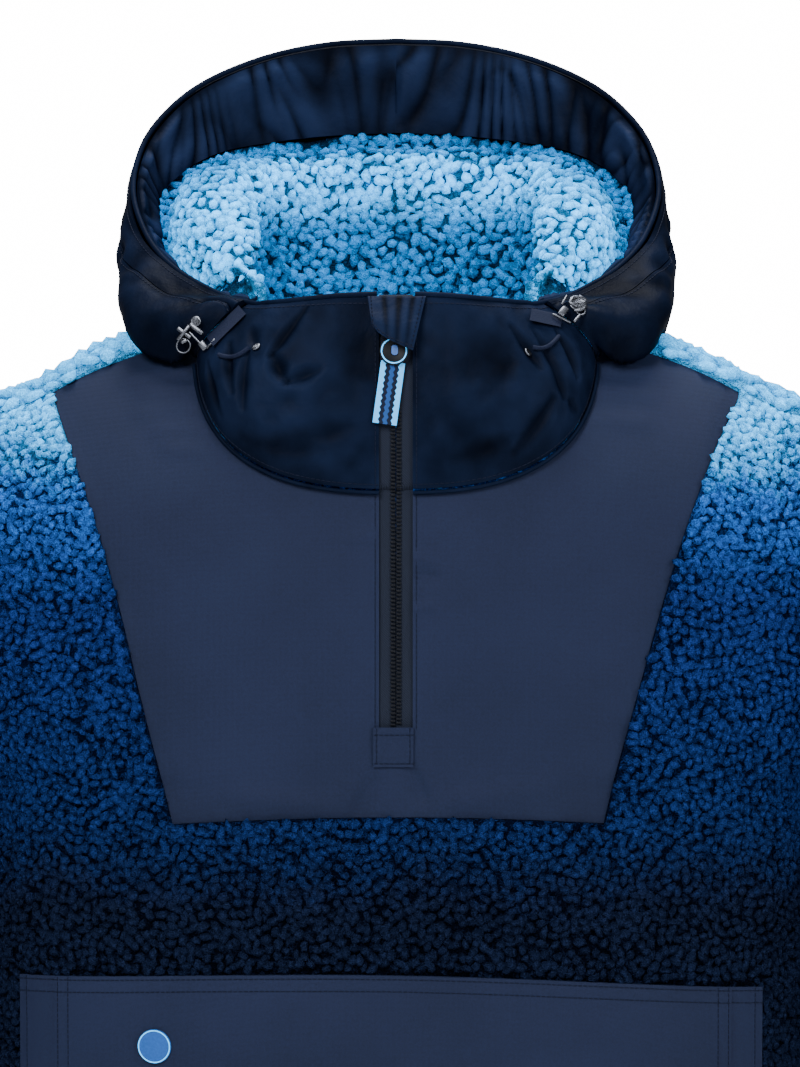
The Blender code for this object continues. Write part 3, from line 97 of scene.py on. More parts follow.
# Neck seam
NECK_HALF_WIDTH = 0.118
NECK_FRONT_DROP = 0.086
NECK_SIDE_HEIGHT = 0.008
NECK_ROUNDNESS = 2.6
NECK_BACK_ARCH = math.radians(45.0)
YOKE_SEAM_DROP = 0.008
SEAM_ARCH = math.acos(1.0 - YOKE_SEAM_DROP / SHOULDER_ARCH)

# Yoke and zip
YOKE_BOTTOM = -0.2735
YOKE_BOW = 0.0053
YOKE_HALF_BOTTOM = 0.130
YOKE_CORNER_X = 0.206
ZIP_HALF_WIDTH = 0.0098
ZIP_END_HEIGHT = -0.217
FRONT_TURN = 2.26

# Collar and hood
COLLAR_WALL = 0.007
COLLAR_END = 83.6
SHELL_SEAM = 0.0042
SHELL_REST = 0.0060
SHELL_CLEAR = 0.0006
SHELL_WALL = 0.0024
BAND_SHARE = 0.17
FACING_WALL = 0.0012
LINING_WALL = 0.0040
LINING_TROUGH = 0.004
LINING_DROP = 0.0045
ROLL_CLEAR = 0.0070
PIPING_RADIUS = 0.0017
RIM_GAP = 0.0012
NECK_PIPING_RADIUS = 0.0012
NECK_PIPING_DROP = 0.0019
NECK_PIPING_LIFT = -0.0004
COLLAR_RISE = 0.115  # from the neck seam to the top edge
COLLAR_CENTRE = 0.015  # the collar swells away from a place this far before the middle
COLLAR_BULGE = 0.008
COLLAR_SIDE_BULGE = 0.006
LINING_STANDOFF = 0.0025
LEAST_TROUGH = 0.003
ROLL_START = 62.0  # the turn where the lining starts to fold over, and the turns it takes to
ROLL_EASE = 30.0

# Sleeves and pocket
CAP_FOOT = -0.262  # where the shoulder's cap ends, and the hanging sleeve's first ring below it
SLEEVE_TOP = -0.266
SLEEVE_FLOOR = 0.012
CUFF_HEIGHT = -0.612
POCKET_TOP = -0.360
POCKET_BOTTOM = -0.592
POCKET_SAG = 0.0115
POCKET_TILT = 0.0037
POCKET_HALF = 0.220
POCKET_LIFT = 0.0010

# Steps of the meshes
YOKE_STEP = 0.0030
POCKET_STEP = 0.0040
COLLAR_STEP = 0.0021
LINING_STEP = 0.0040
TAPE_STEP = 0.0025
PATCH_STEP = 0.0012

# About how long the grids are, which sets how many rows or columns they have
YOKE_SPAN = 0.25
YOKE_DROP = 0.24
SHOULDER_SPAN = 0.15
CAP_SPAN = 0.30
COLLAR_SPAN = 0.19
LINING_SPAN = 0.25
LINING_REACH = 0.17
POCKET_SPAN = 0.22

# Zip, slider, flap and pull
ZIP_TOP = 0.034
TAPE_OVERLAP = 0.00015  # how far a zip tape reaches behind the cloth beside it
TAPE_BEHIND = 0.0022  # from the cloth's outer face back to the tape's
TAPE_THICK = 0.0011
TOOTH_X = 0.0017
TOOTH_BEHIND = 0.0016
TOOTH_WIDTH = 0.0030
TOOTH_DEPTH = 0.0016
PATCH_LEFT = -0.0132
PATCH_RIGHT = 0.0102
PATCH_ABOVE = 0.0015  # from the zip's end to the end patch's top and foot
PATCH_BELOW = 0.0215
PATCH_PROUD = 0.0016
PATCH_THICK = 0.0012
RIBBON_THICK = 0.0009
DISC_THICK = 0.0022
SLIDER_HEIGHT = 0.0145
FLAP_WALL = 0.0014
FLAP_TOP = 0.0335
BEHIND = -0.030  # what lies behind this isn't what an adjuster rests on


def table(columns, *rows):
    """A short table whose first column is the key. Each column is read by its name."""
    return {name: np.array(values, float) for name, values in zip(columns.split(), zip(*rows))}


def listed(columns, *rows):
    """A list of things, each one's numbers read by their names."""
    return [dict(zip(columns.split(), row)) for row in rows]


def along_curve(values, slopes, row, span, t):
    """A smooth curve's value at a share t of the span that follows a row."""
    return (
        (1 + 2 * t) * (1 - t) ** 2 * values[row]
        + t * (1 - t) ** 2 * span * slopes[row]
        + t * t * (3 - 2 * t) * values[row + 1]
        + t * t * (t - 1) * span * slopes[row + 1]
    )


def read(rows, column, at):
    """The column's value at a key, on a smooth curve through the rows."""
    keys, values = next(iter(rows.values())), rows[column]
    slopes = np.gradient(values, keys)
    at = np.clip(at, keys[0], keys[-1])
    row = np.clip(np.searchsorted(keys, at, side="right") - 1, 0, len(keys) - 2)
    span = keys[row + 1] - keys[row]
    return along_curve(values, slopes, row, span, (at - keys[row]) / span)


def read_points(rows, prefix, at):
    """The points at the keys, from the columns whose names are the prefix and an axis."""
    return np.stack([read(rows, prefix + axis, at) for axis in "xyz"], axis=-1)


BODY = table(
    "height half_width front back",
    (-0.690, 0.237, 0.120, 0.110),
    (-0.600, 0.244, 0.130, 0.116),
    (-0.450, 0.249, 0.134, 0.118),
    (-0.300, 0.247, 0.133, 0.118),
    (-0.250, 0.246, 0.132, 0.118),
    (-0.180, 0.246, 0.128, 0.116),
    (-0.100, 0.246, 0.118, 0.112),
    (-0.050, 0.246, 0.103, 0.101),
    (0.000, 0.246, 0.087, 0.087),
    (0.045, 0.246, 0.078, 0.080),
)

SHOULDER = table(
    "x height",
    (0.000, 0.0450),
    (0.060, 0.0360),
    (0.118, 0.0165),
    (0.156, 0.0055),
    (0.182, -0.0045),
    (0.217, -0.0225),
    (0.246, -0.0355),
)

YOKE_SIDE = table(
    "height left right",
    (-0.2735, 0.1311, 0.1219),
    (-0.2430, 0.1386, 0.1292),
    (-0.1990, 0.1497, 0.1412),
    (-0.1450, 0.1628, 0.1565),
    (-0.0945, 0.1779, 0.1730),
    (-0.0540, 0.1937, 0.1900),
    (-0.0270, 0.2050, 0.2054),
)

# The hood's open edge, from the zip round to the middle of the back. The key is the turn round the neck seam.
RIM = table(
    "turn x y z",
    (2.0, 0.0100, -0.0860, 0.0346),
    (24.0, 0.0340, -0.0850, 0.0335),
    (48.0, 0.0600, -0.0780, 0.0305),
    (70.0, 0.0765, -0.0670, 0.0285),
    (83.6, 0.0855, -0.0580, 0.0280),
    (90.0, 0.0975, -0.0450, 0.0300),
    (97.0, 0.1115, -0.0280, 0.0350),
    (105.0, 0.1335, -0.0020, 0.0469),
    (114.0, 0.1505, 0.0260, 0.0650),
    (123.0, 0.1600, 0.0580, 0.0906),
    (132.0, 0.1555, 0.0830, 0.1170),
    (142.0, 0.1390, 0.1050, 0.1400),
    (152.0, 0.1150, 0.1245, 0.1575),
    (162.0, 0.0780, 0.1430, 0.1720),
    (171.0, 0.0400, 0.1510, 0.1794),
    (180.0, 0.0000, 0.1540, 0.1813),
)

# The shell rests on the shoulder, hangs to its low line, and swells to its wide line below the rim.
SHELL = table(
    "turn rest_x rest_y rest_z low_x low_y low_z wide_x wide_y wide_z",
    (83.6, 0.1200, -0.0660, 0.0000, 0.1150, -0.0690, 0.0120, 0.1040, -0.0670, 0.0220),
    (90.0, 0.1260, -0.0520, 0.0020, 0.1290, -0.0600, -0.0045, 0.1280, -0.0560, 0.0180),
    (97.5, 0.1310, -0.0330, 0.0130, 0.1440, -0.0480, -0.0030, 0.1510, -0.0400, 0.0200),
    (112.5, 0.1380, 0.0080, 0.0160, 0.1560, -0.0020, 0.0070, 0.1625, 0.0120, 0.0420),
    (127.5, 0.1300, 0.0450, 0.0100, 0.1540, 0.0600, -0.0030, 0.1640, 0.0650, 0.0450),
    (142.5, 0.1020, 0.0750, 0.0020, 0.1300, 0.1180, -0.0260, 0.1500, 0.1400, 0.0420),
    (157.5, 0.0600, 0.0880, 0.0000, 0.0800, 0.1480, -0.0430, 0.0950, 0.1860, 0.0420),
    (180.0, 0.0000, 0.0960, -0.0020, 0.0000, 0.1560, -0.0500, 0.0000, 0.2060, 0.0420),
)

# The lower edge of the gathered facing inside the rim, where the pile lining starts.
FACING = table(
    "turn x y z",
    (83.6, 0.0815, -0.0525, 0.0245),
    (90.0, 0.0935, -0.0380, 0.0245),
    (97.5, 0.1085, -0.0180, 0.0260),
    (105.0, 0.1265, 0.0040, 0.0335),
    (114.0, 0.1420, 0.0300, 0.0460),
    (123.0, 0.1475, 0.0560, 0.0680),
    (132.0, 0.1465, 0.0800, 0.0900),
    (142.0, 0.1300, 0.1020, 0.1070),
    (152.0, 0.1075, 0.1205, 0.1170),
    (162.0, 0.0750, 0.1360, 0.1225),
    (171.0, 0.0380, 0.1440, 0.1262),
    (180.0, 0.0000, 0.1465, 0.1279),
)

# The crest of the lining's fat fold, and the fold's radius.
ROLL = table(
    "turn x y z radius",
    (2.0, 0.0100, -0.0730, 0.0330, 0.0030),
    (48.0, 0.0520, -0.0650, 0.0300, 0.0040),
    (70.0, 0.0690, -0.0530, 0.0300, 0.0070),
    (83.6, 0.0770, -0.0400, 0.0370, 0.0120),
    (97.5, 0.0930, -0.0130, 0.0560, 0.0190),
    (114.0, 0.1070, 0.0240, 0.0885, 0.0235),
    (123.0, 0.1080, 0.0480, 0.1015, 0.0250),
    (132.0, 0.1000, 0.0690, 0.1095, 0.0260),
    (142.0, 0.0820, 0.0860, 0.1120, 0.0260),
    (152.0, 0.0600, 0.0970, 0.1135, 0.0260),
    (180.0, 0.0000, 0.1060, 0.1139, 0.0260),
)

# How far the groove between the facing and the fat fold sinks below the facing's edge.
TROUGH = table(
    "turn drop",
    (83.6, 0.003),
    (105.0, 0.003),
    (123.0, 0.008),
    (142.0, 0.016),
    (180.0, 0.020),
)

SLEEVE = table(
    "height inner outer front back",
    (-0.612, 0.3000, 0.3730, 0.0600, 0.0150),
    (-0.580, 0.2930, 0.3790, 0.0650, 0.0240),
    (-0.520, 0.2820, 0.3900, 0.0710, 0.0400),
    (-0.430, 0.2730, 0.4000, 0.0740, 0.0570),
    (-0.350, 0.2650, 0.4010, 0.0750, 0.0690),
    (-0.262, 0.2583, 0.3960, 0.0760, 0.0760),
)

# How far the shoulder's cap stands from the underarm, by the angle it has turned towards hanging.
CAP = table(
    "angle reach",
    (0.0, 0.225),
    (20.0, 0.213),
    (45.0, 0.182),
    (70.0, 0.160),
    (90.0, 0.150),
)

# Transverse folds of the sleeve, worn in at the elbow and above the cuff.
SLEEVE_FOLDS = table(
    "height rise",
    (-0.612, 0.000),
    (-0.590, 0.003),
    (-0.570, -0.003),
    (-0.545, 0.003),
    (-0.500, 0.000),
    (-0.455, -0.003),
    (-0.430, 0.004),
    (-0.405, -0.003),
    (-0.375, 0.003),
    (-0.330, 0.000),
)

# The zip flap's top edge, and the foot below each of its points
FLAP = table(
    "top_x foot_x foot_z",
    (-0.0165, -0.0142, 0.0185),
    (-0.0090, -0.0105, 0.0134),
    (-0.0010, -0.0045, 0.0093),
    (0.0090, 0.0025, 0.0062),
    (0.0175, 0.0100, 0.0029),
)

# Soft folds of the body's front: the middle, the lean in degrees, and the size
BODY_FOLDS = listed(
    "x z lean length width rise",
    (-0.205, -0.285, 62, 0.110, 0.022, 0.005),
    (0.207, -0.292, -60, 0.120, 0.022, 0.005),
    (-0.165, -0.640, 84, 0.120, 0.030, 0.006),
    (-0.060, -0.665, 95, 0.080, 0.030, -0.005),
    (0.055, -0.655, 88, 0.100, 0.030, 0.005),
    (0.160, -0.640, 96, 0.120, 0.030, -0.006),
)

FLAP_CLEAR = 0.0010  # more lift at the foot, where the pull's ring swings up behind it
FLAP_LIFTS = table("share lift", (0.0, 0.0010), (0.35, 0.0038), (0.7, 0.0075), (1.0, 0.0084))


# The body's surface


def ridge(x):
    """The height of the shoulders' ridge."""
    return read(SHOULDER, "height", np.abs(x))


def fullness(x, z):
    """The body's depth at x as a share of its depth in the middle: 0 at a side seam, more at the armhole."""
    across = np.clip(np.abs(x) / read(BODY, "half_width", z), 0.0, 1.0)
    above = np.clip((z - UNDERARM_HEIGHT) / 0.10, 0.0, 1.0)
    kept = ARMHOLE_FULLNESS * np.sqrt(1.0 - (1.0 - above) ** 2)
    power = 1.0 / SIDE_ROUNDNESS + 0.45 * above
    rounded = np.maximum(1.0 - across**SIDE_ROUNDNESS, 0.0) ** power
    return kept + (1.0 - kept) * rounded


def middle_depth(front, z):
    """The body's depth in its middle. Front says which of the points lie on the front."""
    return np.where(front, read(BODY, "front", z), read(BODY, "back", z))


def body_y(x, z, side):
    """The surface's y at (x, z). Side is -1 on the front and 1 on the back."""
    drop = np.clip((ridge(x) - z) / SHOULDER_ARCH, 0.0, 1.0)
    arch = np.sqrt(1.0 - (1.0 - drop) ** 2)
    return side * arch * fullness(x, z) * read(BODY, "front" if side < 0 else "back", z)


def front_points(x, z):
    """Points of the body's front."""
    return np.stack(np.broadcast_arrays(x, body_y(x, z, -1), z), axis=-1)


def arch_points(x, arch):
    """Points where the body rounds over the shoulders: arch is negative on the front and 0 on the ridge."""
    z = ridge(x) - SHOULDER_ARCH * (1.0 - np.cos(arch))
    depth = middle_depth(arch < 0, z)
    return np.stack(np.broadcast_arrays(x, np.sin(arch) * depth * fullness(x, z), z), axis=-1)


def level(x, y, z):
    """A field that is 1 on the body's surface and grows outwards."""
    depth = middle_depth(y < 0, z) * fullness(x, z)
    rise = np.maximum(z - ridge(x) + SHOULDER_ARCH, 0.0) / SHOULDER_ARCH
    return (y / np.maximum(depth, 1e-4)) ** 2 + rise**2


def unit(vectors):
    """The vectors at a length of 1."""
    return vectors / np.maximum(np.linalg.norm(vectors, axis=-1, keepdims=True), 1e-12)


def body_normals(points):
    """Outward normals of the body: sideways at a side seam, and in the armhole's plane at the armhole."""
    x, y, z = np.moveaxis(points, -1, 0)
    step = 1e-5
    slopes = [
        level(x + step, y, z) - level(x - step, y, z),
        level(x, y + step, z) - level(x, y - step, z),
        level(x, y, z + step) - level(x, y, z - step),
    ]
    normals = unit(np.stack(slopes, axis=-1))
    at_edge = (np.abs(x) > read(BODY, "half_width", z) - 1e-6)[..., None]
    sideways = np.stack([np.sign(x), np.zeros_like(x), np.zeros_like(x)], axis=-1)
    inner_x = np.sign(x) * (np.abs(x) - 0.002)
    slopes[0] = np.zeros_like(x)
    slopes[1] = level(inner_x, y + step, z) - level(inner_x, y - step, z)
    slopes[2] = level(inner_x, y, z + step) - level(inner_x, y, z - step)
    low = (z <= UNDERARM_HEIGHT + 1e-6)[..., None]
    return np.where(at_edge, np.where(low, sideways, unit(np.stack(slopes, axis=-1))), normals)


def rippled(points, ripples, power=2):
    """How far folds or ripples lift each point. A higher power keeps their height nearer to their ends."""
    total = np.zeros(points.shape[:-1])
    for ripple in ripples:
        lean = math.radians(ripple["lean"])
        dx, dz = points[..., 0] - ripple["x"], points[..., 2] - ripple["z"]
        along = (dx * math.cos(lean) + dz * math.sin(lean)) / (ripple["length"] / 2)
        across = (dz * math.cos(lean) - dx * math.sin(lean)) / ripple["width"]
        total += ripple["rise"] * np.exp(-(along**power)) * np.exp(-(across**2))
    return total


def lifted(points, rise):
    """Points of the front moved out along the body's normals, with the soft folds, and those normals."""
    normals = body_normals(points)
    return points + (rise + rippled(points, BODY_FOLDS))[..., None] * normals, normals


def neck_oval(turns):
    """The neck seam's x, and how near it is to the middle: 0 at the side and 1 in the middle."""
    turns = np.radians(turns)
    power = 2 / NECK_ROUNDNESS
    return NECK_HALF_WIDTH * np.abs(np.sin(turns)) ** power, np.abs(np.cos(turns)) ** power


def neck_line(turns):
    """The neck seam on the body: a turn is 0 at the middle of the front and 180 at the middle of the back."""
    turns = np.asarray(turns, float)
    x, share = neck_oval(turns)
    front = front_points(x, NECK_SIDE_HEIGHT - NECK_FRONT_DROP * share)
    back = arch_points(x, -SEAM_ARCH + (NECK_BACK_ARCH + SEAM_ARCH) * share)
    return np.where((turns <= 90.0)[..., None], front, back)


def body_top(x, y):
    """The heights of the body's surface over the shoulders at (x, y), or very low past its front or back."""
    arches = np.linspace(0.0, math.pi / 2, 46)[:, None]
    heights = ridge(x) - SHOULDER_ARCH * (1.0 - np.cos(arches))
    spread_x = np.broadcast_to(x, heights.shape)
    deep = np.sin(arches) * middle_depth(y < 0, heights) * fullness(spread_x, heights)
    over = np.clip((deep < np.abs(y)).sum(axis=0), 1, 45)
    column = np.arange(len(x))
    low, high = deep[over - 1, column], deep[over, column]
    share = np.clip((np.abs(y) - low) / np.maximum(high - low, 1e-9), 0.0, 1.0)
    found = heights[over - 1, column] * (1 - share) + heights[over, column] * share
    return np.where(np.abs(y) < deep[-1], found, -1.0)


def yoke_bottom(x):
    """The height of the yoke's lower edge."""
    return YOKE_BOTTOM + YOKE_BOW * np.maximum(1.0 - (x / YOKE_HALF_BOTTOM) ** 2, 0.0)


def yoke_side_x(side, z):
    """How far from the middle the yoke's side edge runs."""
    return read(YOKE_SIDE, "left" if side < 0 else "right", z)


def even(start, end, step):
    """Stops from start to end, about a step apart."""
    return np.linspace(start, end, max(int(round(abs(end - start) / step)), 2) + 1)


def distances(line):
    """How far along a line each of its points lies."""
    return np.concatenate([[0.0], np.cumsum(np.linalg.norm(np.diff(line, axis=0), axis=1))])


def at_distance(wanted, along, line):
    """A line's values at wanted distances, where along says how far along its own points lie."""
    return np.stack([np.interp(wanted, along, line[:, axis]) for axis in range(line.shape[1])], axis=-1)


def spread(line, count):
    """Count points evenly along a line of points."""
    along = distances(line)
    return at_distance(np.linspace(0.0, along[-1], count), along, line)


def wrapped(points):
    """A closed grid with its first column repeated as its last one."""
    return np.concatenate([points, points[:, :1]], axis=1)


def length_of(line):
    """The length of a line of points."""
    return float(np.linalg.norm(np.diff(line, axis=0), axis=1).sum())


def grid_normals(points, closed=False):
    """Normals of a grid (rows, columns, 3), to the left of its rows as the columns run on."""
    down = np.gradient(points, axis=0)
    if closed:
        along = np.roll(points, -1, axis=1) - np.roll(points, 1, axis=1)
    else:
        along = np.gradient(points, axis=1)
    return unit(np.cross(along, down))


def through(controls, shares):
    """Points along smooth curves through control points (control, column, 3), at shares of the way."""
    keys = np.linspace(0.0, 1.0, len(controls))
    slopes = np.gradient(controls, keys, axis=0)
    row = np.clip(np.searchsorted(keys, shares, side="right") - 1, 0, len(keys) - 2)
    span = keys[1] - keys[0]
    return along_curve(controls, slopes, row, span, ((shares - keys[row]) / span)[:, None, None])


def softened(share):
    """A share from 0 to 1 that starts and ends softly."""
    return share * share * (3 - 2 * share)


# Unevenness of the cloth


def scatter(cells, seed):
    """Three even numbers from 0 to 1 for each lattice cell."""
    ways = np.array([[127.1, 311.7, 74.7], [269.5, 183.3, 246.1], [113.5, 271.9, 124.6]])
    return np.modf(np.abs(np.sin(cells @ ways.T + seed) * 43758.5453))[0]


def drift(points, size, seed):
    """Soft noise from -1 to 1 that changes over a length of size."""
    place = points / size
    cell = np.floor(place)
    share = place - cell
    share = softened(share)
    total = np.zeros(points.shape[:-1])
    for corner in np.ndindex(2, 2, 2):
        corner = np.array(corner, float)
        weight = np.prod(np.where(corner > 0.5, share, 1 - share), axis=-1)
        total += weight * scatter(cell + corner, seed)[..., 0]
    return total * 2 - 1


# Soft unevenness of each cloth: how far each layer rises, the length that it changes over, and its seed
WAVES = {
    "back": ((0.0030, 0.16, 3.0),),
    "pile": ((0.0012, 0.030, 5.0),),
    "lining": ((0.0036, 0.045, 13.0),),
    "yoke": ((0.0011, 0.050, 2.0),),
    "pocket": ((0.0012, 0.060, 8.0), (0.0006, 0.018, 1.0)),
    "zip_end": ((0.0004, 0.008, 2.0),),
    "collar": ((0.0012, 0.020, 4.0), (0.0006, 0.009, 6.0)),
    "hood": ((0.0021, 0.030, 7.0), (0.0012, 0.012, 9.0)),
    "facing": ((0.0012, 0.022, 11.0),),
}
BACK_WAVE_LIMIT = 0.0015


def waves(points, name):
    """How far a cloth's soft unevenness lifts each point."""
    return sum(rise * drift(points, size, seed) for rise, size, seed in WAVES[name])


def curls(points, size):
    """Rounded pile curls about a size across: 1 on a curl's crown and 0 in the gaps between them."""
    place = points / size
    cell = np.floor(place)
    nearest = np.full(points.shape[:-1], 9.0)
    for offset in np.ndindex(3, 3, 3):
        near = cell + np.array(offset, float) - 1.0
        centre = near + 0.5 + 0.7 * (scatter(near, 0.0) - 0.5)
        nearest = np.minimum(nearest, ((place - centre) ** 2).sum(axis=-1))
    return np.sqrt(np.maximum(1.0 - nearest / 0.72, 0.0))


def crease(points, start, end, width):
    """1 along a straight crease from start to end, and 0 away from it."""
    start, end = np.array(start, float), np.array(end, float)
    run = end - start
    along = np.clip(((points - start) @ run) / (run @ run), 0.0, 1.0)
    away = np.linalg.norm(points - start - along[..., None] * run, axis=-1)
    taper = 0.35 + 0.65 * np.sin(math.pi * np.clip(along, 0.04, 0.96)) ** 0.6
    return np.exp(-((away / (width * taper)) ** 2)) * taper


# The cloth's panels, as grids of points


def front_pile_grid(step):
    """The front fleece: (points, normals, cells that stay). The yoke's place is left out."""
    shares = np.linspace(1.0, 0.0, 46)
    down = even(0.0, 1.0, step / YOKE_SPAN)
    low = even(0.0, 1.0, step / (YOKE_BOTTOM - HEM_HEIGHT))[1:]
    halves = []
    for side in (-1, 1):
        start = math.asin(YOKE_CORNER_X / ARMHOLE_X)
        top_x = ARMHOLE_X * np.sin(start + (math.pi / 2 - start) * shares)
        top_z = ridge(top_x) - YOKE_SEAM_DROP
        z = top_z + (YOKE_BOTTOM - top_z) * down[:, None]
        half = read(BODY, "half_width", z)
        start = np.arcsin(np.clip(yoke_side_x(side, z) / half, 0.0, 1.0))
        x = half * np.sin(start + (math.pi / 2 - start) * shares)
        z_low = YOKE_BOTTOM + (HEM_HEIGHT - YOKE_BOTTOM) * low[:, None] + 0.0 * shares
        half = read(BODY, "half_width", z_low)
        start = math.asin(yoke_side_x(side, YOKE_BOTTOM) / read(BODY, "half_width", YOKE_BOTTOM))
        x_low = half * np.sin(start + (math.pi / 2 - start) * shares)
        halves.append((side * np.concatenate([x, x_low]), np.concatenate([z, z_low])))
    (left_x, left_z), (right_x, right_z) = halves
    middle = even(0.0, 1.0, step / YOKE_SPAN)[1:-1]
    mid_x = left_x[:, -1:] * (1 - middle) + right_x[:, -1:] * middle
    mid_z = np.repeat(left_z[:, -1:], len(middle), axis=1)
    rows = len(down)
    top_z = yoke_bottom(mid_x[rows - 1])
    mid_z[:rows] = top_z
    for row in range(rows, len(mid_z)):
        share = (row - rows + 1) / len(low)
        mid_z[row] = top_z + (HEM_HEIGHT - top_z) * share
    x = np.concatenate([left_x, mid_x, right_x[:, ::-1]], axis=1)
    z = np.concatenate([left_z, mid_z, right_z[:, ::-1]], axis=1)
    points, normals = lifted(eased(x, z), 0.0)
    sides = len(shares)
    keep = np.ones((len(x) - 1, x.shape[1] - 1), bool)
    keep[: rows - 1, sides - 1 : x.shape[1] - sides] = False
    return points, normals, keep


EASE_REACH = 0.022
EASE_EDGE = 0.235


def eased(x, z):
    """The front's points, with the sharp turn at the underarm's height eased away from the armholes."""
    points = front_points(x, z)
    below, above = (body_y(x, z + shift, -1) for shift in (-EASE_REACH, EASE_REACH))
    near = np.exp(-(((z - UNDERARM_HEIGHT) / EASE_REACH) ** 2))
    near = near * np.clip((EASE_EDGE - np.abs(x)) / 0.05, 0.0, 1.0)
    points[..., 1] += ((below + above) / 2 - points[..., 1]) * near * 0.5
    return points


def back_pile_grid(step):
    """The back fleece, from the hem up and over the shoulders."""
    start = math.asin(YOKE_CORNER_X / ARMHOLE_X)
    turns = np.linspace(math.pi / 2, start, 22)
    armhole = ARMHOLE_X * np.sin(turns)
    shoulder = even(YOKE_CORNER_X, NECK_HALF_WIDTH, step)[1:]
    neck_x, neck_share = neck_oval(np.linspace(93.0, 180.0, 34))
    half_x = np.concatenate([armhole, shoulder, neck_x])
    seam_end = np.full(len(armhole) + len(shoulder), -SEAM_ARCH)
    half_end = np.concatenate([seam_end, -SEAM_ARCH + (NECK_BACK_ARCH + SEAM_ARCH) * neck_share])
    x = np.concatenate([-half_x, half_x[-2::-1]])
    end = np.concatenate([half_end, half_end[-2::-1]])
    z = even(HEM_HEIGHT, UNDERARM_HEIGHT, step)[:, None]
    at = read(BODY, "half_width", z) * x / ARMHOLE_X
    low = np.stack(np.broadcast_arrays(at, body_y(at, z, 1), z), axis=-1)
    foot = ridge(x) - SHOULDER_ARCH
    z = UNDERARM_HEIGHT + (foot - UNDERARM_HEIGHT) * even(0.0, 1.0, step / SHOULDER_SPAN)[1:-1, None]
    middle = np.stack(np.broadcast_arrays(x, body_y(x, z, 1), z), axis=-1)
    arches = math.pi / 2 + (end - math.pi / 2) * np.linspace(0.0, 1.0, 52)[:, None]
    over = arch_points(np.broadcast_to(x, arches.shape), arches)
    points = np.concatenate([low, middle, over])[::-1]
    normals = body_normals(points)
    rise = waves(points, "back") * np.clip((ARMHOLE_X - np.abs(points[..., 0])) / 0.05, 0.0, 1.0)
    rise *= np.clip((0.03 - points[..., 2]) / 0.08, 0.0, 1.0)
    return points + np.minimum(rise, BACK_WAVE_LIMIT)[..., None] * normals, normals


def yoke_grid(step):
    """The yoke, in one piece with a slit for the zip."""
    halves = []
    for side in (-1, 1):
        shoulder_x = np.linspace(YOKE_CORNER_X, NECK_HALF_WIDTH, 30)
        shoulder = np.stack([shoulder_x, ridge(shoulder_x) - YOKE_SEAM_DROP], axis=-1)
        neck = neck_line(np.linspace(90.0, FRONT_TURN, 60))[:, [0, 2]]
        tops = spread(np.concatenate([shoulder, neck[1:]]), 76)
        shares = np.linspace(0.0, 1.0, len(tops))
        corner = float(yoke_side_x(side, YOKE_BOTTOM))
        bottom_x = corner + (ZIP_HALF_WIDTH - corner) * shares
        down = even(0.0, 1.0, step / YOKE_DROP)[:, None]
        flat = tops[:, 1] + (YOKE_BOTTOM - tops[:, 1]) * down
        x = tops[:, 0] + (bottom_x - tops[:, 0]) * down
        bow = yoke_side_x(side, flat[:, :1]) - (YOKE_CORNER_X + (corner - YOKE_CORNER_X) * down)
        bow[0] = bow[-1] = 0.0
        x = x + (1.0 - shares) ** 2 * bow
        z = tops[:, 1] + (yoke_bottom(x[-1]) - tops[:, 1]) * down
        halves.append((side * x, z))
    (left_x, left_z), (right_x, right_z) = halves
    inner = np.linspace(0.0, 1.0, 6)[1:-1]
    inner_x = left_x[:, -1:] * (1 - inner) + right_x[:, -1:] * inner
    inner_z = np.repeat(left_z[:, -1:], len(inner), axis=1)
    x = np.concatenate([left_x, inner_x, right_x[:, ::-1]], axis=1)
    z = np.concatenate([left_z, inner_z, right_z[:, ::-1]], axis=1)
    points, normals = lifted(front_points(x, z), -FLEECE_PROUD)
    keep = np.ones((len(x) - 1, x.shape[1] - 1), bool)
    slit = left_x.shape[1] - 1
    keep[left_z[1:, -1] > ZIP_END_HEIGHT, slit : slit + len(inner) + 1] = False
    return points, normals, keep


def armhole_edge(side, heights):
    """The points of the armhole's edge on the front (-1) or the back (1)."""
    x = np.array([ARMHOLE_X])
    return np.array([[ARMHOLE_X, float(body_y(x, np.array([z]), side)[0]), z] for z in heights])


def armhole_loop():
    """The right armhole, from the underarm up the front, over the shoulder and down the back."""
    crest = float(ridge(ARMHOLE_X))
    front = armhole_edge(-1, np.linspace(UNDERARM_HEIGHT, crest - YOKE_SEAM_DROP, 70))
    arches = np.linspace(-SEAM_ARCH, math.pi / 2, 24)[1:]
    over = arch_points(np.full(len(arches), ARMHOLE_X), arches)
    back = armhole_edge(1, np.linspace(crest - SHOULDER_ARCH, UNDERARM_HEIGHT, 40))
    return spread(np.concatenate([front, over, back[1:]]), 131)[:-1]


